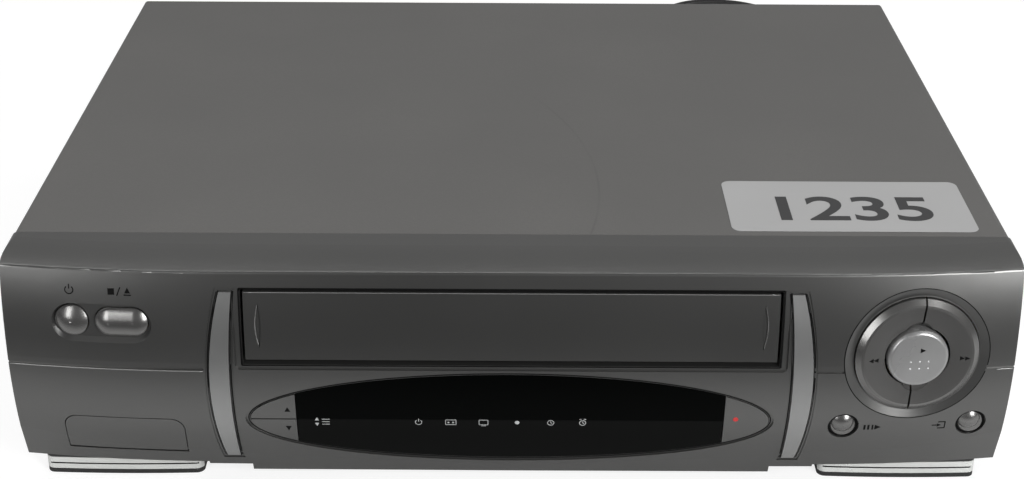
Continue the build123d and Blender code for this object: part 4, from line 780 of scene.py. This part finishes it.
def ellipse(x, z, a, b, first, last, wide, steps):
    # x + a cos t, z + b sin t between two angles.
    turn = np.radians(np.linspace(first, last, steps))
    return band(np.column_stack([x + a * np.cos(turn), z + b * np.sin(turn)]), wide)


def arc(x, z, radius, first, last, wide, steps=28):
    return ellipse(x, z, radius, radius, first, last, wide, steps)


def line(x0, z0, x1, z1, wide, steps=6):
    return band(np.linspace((x0, z0), (x1, z1), steps), wide)


def bow(first, middle, last, wide, steps=30):
    # A shallow curve through three points: each point weighted by its Lagrange factor over the share t.
    t = np.linspace(0, 1, steps)[:, None]
    start, peak, end = 2 * (t - 0.5) * (t - 1), -4 * t * (t - 1), 2 * t * (t - 0.5)
    return band(start * np.array(first) + peak * np.array(middle) + end * np.array(last), wide)


def thicken(piece, thick):
    settle(piece.modifiers.new("layer", "SOLIDIFY"), thickness=thick * mm, offset=1.0)


# Lays flat shapes onto a node; its default near-black finish serves both printed signs and painted shade
def mark(name, parts, node, finish="darkInk", body="casing", slotName="key_plastic", lift=0.03, thick=0.05):
    points, faces = joined(parts)
    start = np.column_stack([points[:, 0], np.full(len(points), rayStart), points[:, 1]])
    piece = meshObject(name, start * mm, faces)
    wrap = piece.modifiers.new("onto", "SHRINKWRAP")
    settle(wrap, target=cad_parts[node], wrap_method="PROJECT", use_project_y=True, offset=lift * mm)
    thicken(piece, thick)
    applyModifiers(piece)
    return finishPiece(piece, finish, body, slotName)


marksLook = {"powerX": -155.7, "stopX": -137.8, "aboveKeys": 83.4, "pauseX": 129.3, "inputX": 155.8, "lowZ": 29.2,
             "dial": (144.5, 59.6), "onRing": 16.1, "onPlay": (1.2, 3.6), "channelX": -80.9, "splitZ": 32.0,
             "channelStep": 4.3, "record": (81.4, 32.9), "recordRadius": 1.0, "stroke": 0.38, "lowStroke": 0.4}


def panelMarks():
    look = marksLook
    x, z, stroke = look["powerX"], look["aboveKeys"], look["stroke"]
    power = [arc(x, z, 1.45, 130, 410, stroke), line(x, z + 0.4, x, z + 2.1, stroke)]
    mark("powerMark", power, "front_panel")
    x = look["stopX"]
    stopEject = [bar(x - 2.9, z, 2.3, 2.3), line(x - 0.9, z - 1.5, x + 0.4, z + 1.6, 0.35),
                 triangle(x + 2.9, z + 0.35, 2.1, 90), bar(x + 2.9, z - 1.15, 2.6, 0.45)]
    mark("stopEjectMark", stopEject, "front_panel")
    x, z, stroke = look["pauseX"], look["lowZ"], look["lowStroke"]
    pause = [bar(x - 0.7, z, 0.75, 2.3), bar(x + 0.7, z, 0.75, 2.3),
             triangle(x + 3.9, z, 2.3, 0), bar(x + 2.2, z, 0.6, 2.3)]
    mark("pauseMark", pause, "front_panel")
    x = look["inputX"]
    into = [line(x - 2.4, z, x - 0.6, z, stroke), triangle(x + 0.1, z, 1.5, 0)]
    into += [line(x - 0.2, z + side * 1.5, x + 2.6, z + side * 1.5, stroke) for side in (1, -1)]
    into += [line(x + 2.4, z - 1.5, x + 2.4, z + 1.5, stroke)]
    mark("inputMark", into, "front_panel")


def keyMarks():
    look = marksLook
    x, z = look["dial"]
    for side, node, name in ((-1, "rewind_button", "rewindMark"), (1, "fast_forward_button", "forwardMark")):
        heading = 0 if side > 0 else 180
        reaches = (look["onRing"] - 0.7, look["onRing"] + 1.1)
        pair = [triangle(x + side * reach + 0.7, z - 0.8, 1.7, heading) for reach in reaches]
        mark(name, pair, node, body=node)
    dx, dz = look["onPlay"]
    mark("playMark", [triangle(x + dx, z + dz, 1.9, 0)], "play_button", body="play_button")
    x, z, step = look["channelX"], look["splitZ"], look["channelStep"]
    for side, way in ((1, "up"), (-1, "down")):
        node = f"channel_{way}_button"
        mark(f"channel{way.title()}Mark", [triangle(x, z + side * step, 2.1, side * 90)], node, body=node)
    mark("recordMark", [disc(*look["record"], look["recordRadius"])], "record_button", "redInk", "record_button")


panelMarks()
keyMarks()


# Painted shade in the narrow recesses round the door, oval, strips, dial and small keys, and painted highlights
# on edges
recessLook = {
    "slot": {"half": 95.9, "low": 55.45, "high": 84.95, "top": 0.7, "bottom": 0.5},
    "oval": {"x": -0.5, "z": 32.2, "a": 94.65, "b": 20.25}, "stroke": 0.45,
    "dial": {"radius": 26.2, "stroke": 0.35},
    "smallKeys": ((120.7, 30.0), (167.8, 29.6)), "smallRing": (5.1, 0.9),
    "strips": (((102.8, 84.0), (107.8, 50.0), (104.5, 13.3)), ((98.5, 84.0), (100.7, 50.0), (99.8, 13.3))),
    "stripGrow": 0.7, "shade": {"lift": 0.02, "thick": 0.03},
}
edgeLook = {
    "crease": {"z": 53.25, "left": (-180.0, -110.0), "right": (174.0, 180.0), "stroke": 0.3},
    "crescent": ((89.5, 63.0), (90.6, 71.0), (89.5, 79.0)), "doorTop": (94.2, 83.5), "doorStroke": 0.25,
    "trim": {"x": (117.2, 172.8), "z": 4.3, "stroke": 0.55},
}


def sides(build):
    # The same shape on the left and the right: build gets -1 and 1.
    return [build(side) for side in (-1, 1)]


def paintedRecessShade():
    # Near-black bands painted as shade along the gaps round the door slot, the oval, the dial ring, the small
    # keys and the trim strips.
    look = recessLook
    slot, oval, stroke = look["slot"], look["oval"], look["stroke"]
    half, low, high = slot["half"], slot["low"], slot["high"]
    parts = [line(-half, high, half, high, slot["top"], 40), line(-half, low, half, low, slot["bottom"], 40)]
    parts += sides(lambda side: line(side * half, low, side * half, high, slot["top"], 12))
    parts.append(ellipse(oval["x"], oval["z"], oval["a"], oval["b"], 0, 360, stroke, 181))
    parts.append(arc(*marksLook["dial"], look["dial"]["radius"], 0, 360, look["dial"]["stroke"], 120))
    radius, wide = look["smallRing"]
    parts += [arc(x, z, radius, 0, 360, wide, 60) for x, z in look["smallKeys"]]
    for outline, grow in zip(look["strips"], (look["stripGrow"], -look["stripGrow"])):
        parts += sides(lambda side: bow(*[(side * (x + grow), z) for x, z in outline], stroke))
    mark("paintedRecessShade", parts, "front_panel", **look["shade"])


def paintedEdgeLightAndShade():
    # Painted highlights on the crease and the door's edges, and a painted shade line on the foot trims.
    look = edgeLook
    crease, trim, stroke = look["crease"], look["trim"], look["doorStroke"]
    z, wide = crease["z"], crease["stroke"]
    # A thin raised bead in lighter paint under the crease groove: a painted highlight along its lip
    lips = [line(x0, z, x1, z, wide, steps) for (x0, x1), steps in ((crease["left"], 40), (crease["right"], 8))]
    mark("creasePaintedHighlight", lips, "front_panel", "edgeShine", lift=0.0, thick=0.12)
    # Painted highlights along the door's finger crescents and its top edge.
    edges = sides(lambda side: bow(*[(side * x, z) for x, z in look["crescent"]], stroke))
    x, z = look["doorTop"]
    edges.append(line(-x, z, x, z, stroke, 60))
    mark("doorPaintedHighlights", edges, "cassette_door", "edgeShine", "door", lift=0.0, thick=0.06)
    # A dark painted shade line along each foot trim, where its groove would lie.
    (x0, x1), z = trim["x"], trim["z"]
    mark("trimPaintedGrooveShade", sides(lambda side: line(side * x0, z, side * x1, z, trim["stroke"], 60)), "foot_trims",
         lift=0.01, thick=0.04)


paintedRecessShade()
paintedEdgeLightAndShade()


# Pictograms in the window: a row of six small signs, and a programme sign at its left end
windowRow = {
    "z": 30.6, "size": 1.15, "x": (-33.6, -21.9, -10.0, 2.2, 14.4, 26.0), "programX": -70.5,
    "stroke": 0.26, "powerStroke": 0.28, "handStroke": 0.24, "programStroke": 0.3,
}


def windowSigns():
    look = windowRow
    z, s, stroke = look["z"], look["size"], look["stroke"]
    power, tape, monitor, record, clock, timer = look["x"]
    parts = [arc(power, z, s, 130, 410, look["powerStroke"]),
             line(power, z + 0.3, power, z + 1.7, look["powerStroke"])]
    parts += [boxLine(tape, z, 3.8, 2 * s, stroke), disc(tape - 0.85, z - 0.1, 0.38, 14),
              disc(tape + 0.85, z - 0.1, 0.38, 14)]
    parts += [boxLine(monitor, z, 3.2, 2 * s, stroke),
              line(monitor - 0.9, z - 1.65, monitor + 0.9, z - 1.65, stroke), disc(record, z, 0.85, 20)]
    for x in (clock, timer):
        hand = look["handStroke"]
        parts += [arc(x, z, s, 0, 360, stroke)]
        parts += [line(x, z, x + dx, z + dz, hand) for dx, dz in ((0.0, 0.8), (0.6, -0.25))]
    parts += [line(timer - 1.2, z + 1.7, timer - 0.4, z + 1.9, stroke),
              line(timer + 0.4, z + 1.9, timer + 1.2, z + 1.7, stroke)]
    mark("windowSigns", parts, "display_window", "paleInk", slotName="window_plastic")
    x, step = look["programX"], 1.2
    parts = [triangle(x, z + step, 1.5, 90), triangle(x, z - step, 1.5, 270)]
    parts += [line(x + 1.8, z + dz, x + 4.6, z + dz, look["programStroke"]) for dz in (step, 0.0, -step)]
    mark("programSign", parts, "display_window", "paleInk", slotName="window_plastic")


windowSigns()
print("marks printed")


# Raised dots on the play key
dotsLook = {"radius": 0.36, "high": 0.28, "sunk": 0.2, "columns": (-2.7, 0.5, 3.7), "rows": (-0.9, -3.7)}


def surfaceAt(node, x, z):
    # Point and normal where a line along +Y first meets a node.
    hit, point, normal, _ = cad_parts[node].ray_cast((x * mm, rayStart * mm, z * mm), (0, 1, 0))
    assert hit, (node, x, z)
    return np.array(point) / mm, np.array(normal)


def playDots():
    # Each dot is a low dome: height falls with the square of the distance from its middle.
    look = dotsLook
    x, z = marksLook["dial"]
    share = np.linspace(0.02, 1, 7)
    dome = np.column_stack([share * look["radius"], look["high"] * (1 - share**2)])[::-1]
    points, faces = lathe([(look["radius"], -look["sunk"]), *dome.tolist()], 20)
    seats = [surfaceAt("play_button", x + dx, z + dz) for dx in look["columns"] for dz in look["rows"]]
    points, faces = joined([(toAxis(points, point, normal), faces) for point, normal in seats])
    finishPiece(meshObject("playDots", points * mm, faces), "dotPaint", "play_button", "silver_plastic")


playDots()


# Stock label on the cover: rounded paper with plain digits
labelLook = {
    "x": (80.0, 170.0), "y": (-113.0, -69.0), "corner": 3.5, "thick": 0.12, "top": 94.0,
    "lift": 0.02, "waves": 0.04, "waveAlong": (0.31, 0.17),
}


def labelOutline():
    # Four quarter circles about points one radius inside the corners, joined by straight sides.
    look = labelLook
    (x0, x1), (y0, y1), r = look["x"], look["y"], look["corner"]
    quarters = []
    for x, y, first in ((x0 + r, y0 + r, 180), (x1 - r, y0 + r, 270), (x1 - r, y1 - r, 0), (x0 + r, y1 - r, 90)):
        turn = np.radians(np.linspace(first, first + 90, 9))
        quarters.append(np.column_stack([x + r * np.cos(turn), y + r * np.sin(turn)]))
    return np.vstack(quarters)


def makeLabel():
    # The paper isn't quite flat: its height follows the square of a slow sine across it.
    look = labelLook
    points, faces = filled(edged(labelOutline(), 3), 8)
    lift = look["lift"] + look["waves"] * np.sin(points @ look["waveAlong"]) ** 2
    flat = np.column_stack([points, look["top"] + lift])
    piece = meshObject("stockLabel", flat * mm, faces, smooth=False)
    thicken(piece, look["thick"])
    applyModifiers(piece)
    finishPiece(piece, "labelPaper", "casing", "silver_plastic")


digitsLook = {"text": "1235", "low": (99.0, -104.0, 94.16), "size": (57.0, 21.0, 0.08), "bold": 0.016,
              "extrude": 0.005}


def makeDigits():
    # Plain text made a mesh, then fitted into its box.
    look = digitsLook
    text = bpy.data.curves.new("labelDigits", "FONT")
    settle(text, body=look["text"], offset=look["bold"], extrude=look["extrude"])
    holder = newObject("labelDigits", text)
    mesh = evaluatedMesh(holder)
    bpy.data.objects.remove(holder)
    points = np.zeros(len(mesh.vertices) * 3)
    mesh.vertices.foreach_get("co", points)
    points = points.reshape(-1, 3)
    share = (points - points.min(0)) / np.ptp(points, 0)
    mesh.vertices.foreach_set("co", ((look["low"] + share * look["size"]) * mm).ravel())
    mesh.materials.clear()
    finishPiece(newObject("labelDigits", mesh), "stampInk", "casing", "key_plastic")


makeLabel()
makeDigits()
print("label stuck on")


# Cover screws with cross recesses
screwLook = {
    "head": 3.2, "high": 1.8, "crown": 0.35, "shank": 1.5, "long": 3.4, "rings": 22, "steps": 72,
    "recess": 1.15, "slot": 0.42, "slotSoft": 0.16, "reach": 1.75, "reachSoft": 0.35,
    "side": {"x": 180.0, "y": (-70.0, 114.5), "z": 16.0},
    "rear": {"x": (-158.5, 0.0, 158.5), "y": 142.4, "z": 89.5},
}


def screwSurface():
    # Head height over (radius, angle): a dome, less a cross where the nearer arm's offset is under the slot.
    look = screwLook
    steps = look["steps"]
    share, turn = np.linspace(0.03, 1, look["rings"])[:, None], circleAngles(steps)[None]
    x, y = look["head"] * share * np.cos(turn), look["head"] * share * np.sin(turn)
    dome = look["high"] * (1 - look["crown"] * share**4) + 0 * turn
    near, far = np.minimum(abs(x), abs(y)), np.maximum(abs(x), abs(y))
    across = np.clip((look["slot"] - near) / look["slotSoft"] + 0.5, 0, 1)
    along = np.clip((look["reach"] - far) / look["reachSoft"] + 0.5, 0, 1)
    top = np.stack([x, y, dome - look["recess"] * across * along], -1)
    stem = revolved([(look["head"], 0.0), (look["shank"], 0.0), (look["shank"], -look["long"])], steps)
    grid = np.concatenate([top, stem])
    points = np.vstack([grid.reshape(-1, 3), [[0, 0, look["high"] - look["recess"]], [0, 0, -look["long"]]]])
    return points, [face[::-1] for face in tubeFaces(len(grid), steps)]


def makeScrews():
    side, rear = screwLook["side"], screwLook["rear"]
    seats = [((way * side["x"], y, side["z"]), (way, 0, 0)) for way in (-1, 1) for y in side["y"]]
    seats += [((x, rear["y"], rear["z"]), (0, 1, 0)) for x in rear["x"]]
    points, faces = screwSurface()
    points, faces = joined([(toAxis(points, seat, axis), faces) for seat, axis in seats])
    piece = meshObject("coverScrews", points * mm, faces)
    splitEdges(piece, 40)
    finishPiece(piece, "darkScrew", "casing", "spring_steel", "cover_screws")


makeScrews()


# Coloured collars of the phono sockets, at the back and behind the front flap
collarLook = {
    "inner": 4.2, "outer": 5.6, "thick": 0.9, "outerEdge": 0.25, "innerEdge": 0.2, "steps": 48,
    "colours": ("yellowInsert", "whiteInsert", "redInsert"),
    "rear": {"x": (16.0, 34.0, 52.0), "y": 141.55, "z": 34.0, "axis": (0, 1, 0)},
    "front": {"x": (-155.0, -141.0, -127.0), "y": -126.35, "z": 23.0, "axis": (0, -1, 0)},
}


def makeCollars():
    # A flat ring with rounded edges: a closed profile turned about the socket's axis.
    look = collarLook
    inner, outer, t, a, b = (look[key] for key in ("inner", "outer", "thick", "outerEdge", "innerEdge"))
    section = [(inner, 0), (outer, 0), (outer, t - a), (outer - a, t), (inner + b, t), (inner, t - b)]
    ring = revolved(section, look["steps"]).reshape(-1, 3)
    faces = gridFaces(len(section), look["steps"], True, True)
    for side in ("rear", "front"):
        seat = look[side]
        for x, finish in zip(seat["x"], look["colours"]):
            name = f"{side}{finish[0].upper()}{finish[1:]}"
            piece = meshObject(name, toAxis(ring, (x, seat["y"], seat["z"]), seat["axis"]) * mm, faces)
            finishPiece(piece, finish, "casing", "socket_black")


makeCollars()
print("screws and collars placed")


# Studio: white paper that ends a hand's width before the recorder, a dark room in front,
# two broad lamps overhead at the sides, a strip between them and an upright lamp on each side in front
stageLook = {"paper": 0.82, "beyond": 0.02, "edge": (-0.250, -0.175), "rough": 0.9,
             "glow": 0.80, "shadow": 0.32, "reach": 6.0}


def makeStage():
    # Seen directly the floor is white with a soft shadow; in reflections and bounces it is paper with an edge.
    look = stageLook
    material, tree, principled, _ = startMaterial("stagePaper", Roughness=look["rough"], Specular_IOR_Level=0.0)
    depth = coordinate(tree, addNode(tree, "ShaderNodeNewGeometry").outputs["Position"], 1)
    onPaper = spread(tree, depth, *look["edge"], look["beyond"], look["paper"])
    tone = addNode(tree, "ShaderNodeCombineColor", n0=onPaper, n1=onPaper, n2=onPaper)
    tree.links.new(tone.outputs[0], principled.inputs["Base Color"])
    glow = addNode(tree, "ShaderNodeEmission", Strength=look["glow"])
    matte = addNode(tree, "ShaderNodeBsdfDiffuse", Color=(look["shadow"],) * 3)
    white = addNode(tree, "ShaderNodeAddShader", n0=glow.outputs[0], n1=matte.outputs[0])
    seen = tree.nodes.new("ShaderNodeLightPath").outputs["Is Camera Ray"]
    chosen = addNode(tree, "ShaderNodeMixShader", n0=seen, n1=principled.outputs[0], n2=white.outputs[0])
    tree.links.new(chosen.outputs[0], tree.nodes["Material Output"].inputs["Surface"])
    corners = np.array([(-1, -1, 0), (1, -1, 0), (1, 1, 0), (-1, 1, 0)]) * look["reach"]
    floor = meshObject("stageFloor", corners, [(0, 1, 2, 3)], smooth=False)
    floor.data.materials.append(material)


lamps = {
    "leftLamp": {"size": (0.70, 1.10), "radiance": 1.6, "place": (-1.10, 0.05, 1.10), "aim": (-0.1, -0.05)},
    "rightLamp": {"size": (0.70, 1.10), "radiance": 1.6, "place": (1.10, 0.05, 1.10), "aim": (0.1, -0.05)},
    "stripLamp": {"size": (1.60, 0.10), "radiance": 5.5, "place": (0.0, 0.05, 1.15), "aim": (0.0, 0.0)},
    "frontLeftLamp": {"size": (0.45, 0.90), "radiance": 6.0, "place": (-0.80, -1.20, 0.50), "aim": (-0.1, -0.1)},
    "frontRightLamp": {"size": (0.45, 0.90), "radiance": 13.8, "place": (0.86, -1.20, 0.50), "aim": (0.1, -0.1)},
}
aimHeight = 0.05


def makeLamps():
    # Each lamp turns its face to its aim: tilted from straight down, then turned about Z.
    for name, look in lamps.items():
        data = bpy.data.lights.new(name, "AREA")
        wide, high = look["size"]
        settle(data, shape="RECTANGLE", size=wide, size_y=high, energy=look["radiance"] * math.pi * wide * high)
        x, y, z = np.array(look["place"]) - [*look["aim"], aimHeight]
        turn = (math.atan2(math.hypot(x, y), z), 0, math.atan2(y, x) + math.pi / 2)
        settle(newObject(name, data), location=look["place"], rotation_euler=turn)


roomLook = {"front": 0.06, "back": 0.40, "span": (-0.3, 0.6)}


def makeWorld():
    # White where seen directly; otherwise a room that grows lighter towards the back.
    look = roomLook
    world = bpy.data.worlds.new("studioWorld")
    world.use_nodes = True
    tree = world.node_tree
    background = tree.nodes["Background"]
    background.inputs["Color"].default_value = (1, 1, 1, 1)
    heading = coordinate(tree, tree.nodes.new("ShaderNodeTexCoord").outputs["Generated"], 1)
    room = spread(tree, heading, *look["span"], look["front"], look["back"])
    seen = tree.nodes.new("ShaderNodeLightPath").outputs["Is Camera Ray"]
    tree.links.new(maths(tree, "MAXIMUM", seen, room), background.inputs["Strength"])
    scene.world = world


makeStage()
makeLamps()
makeWorld()
print("studio lit")
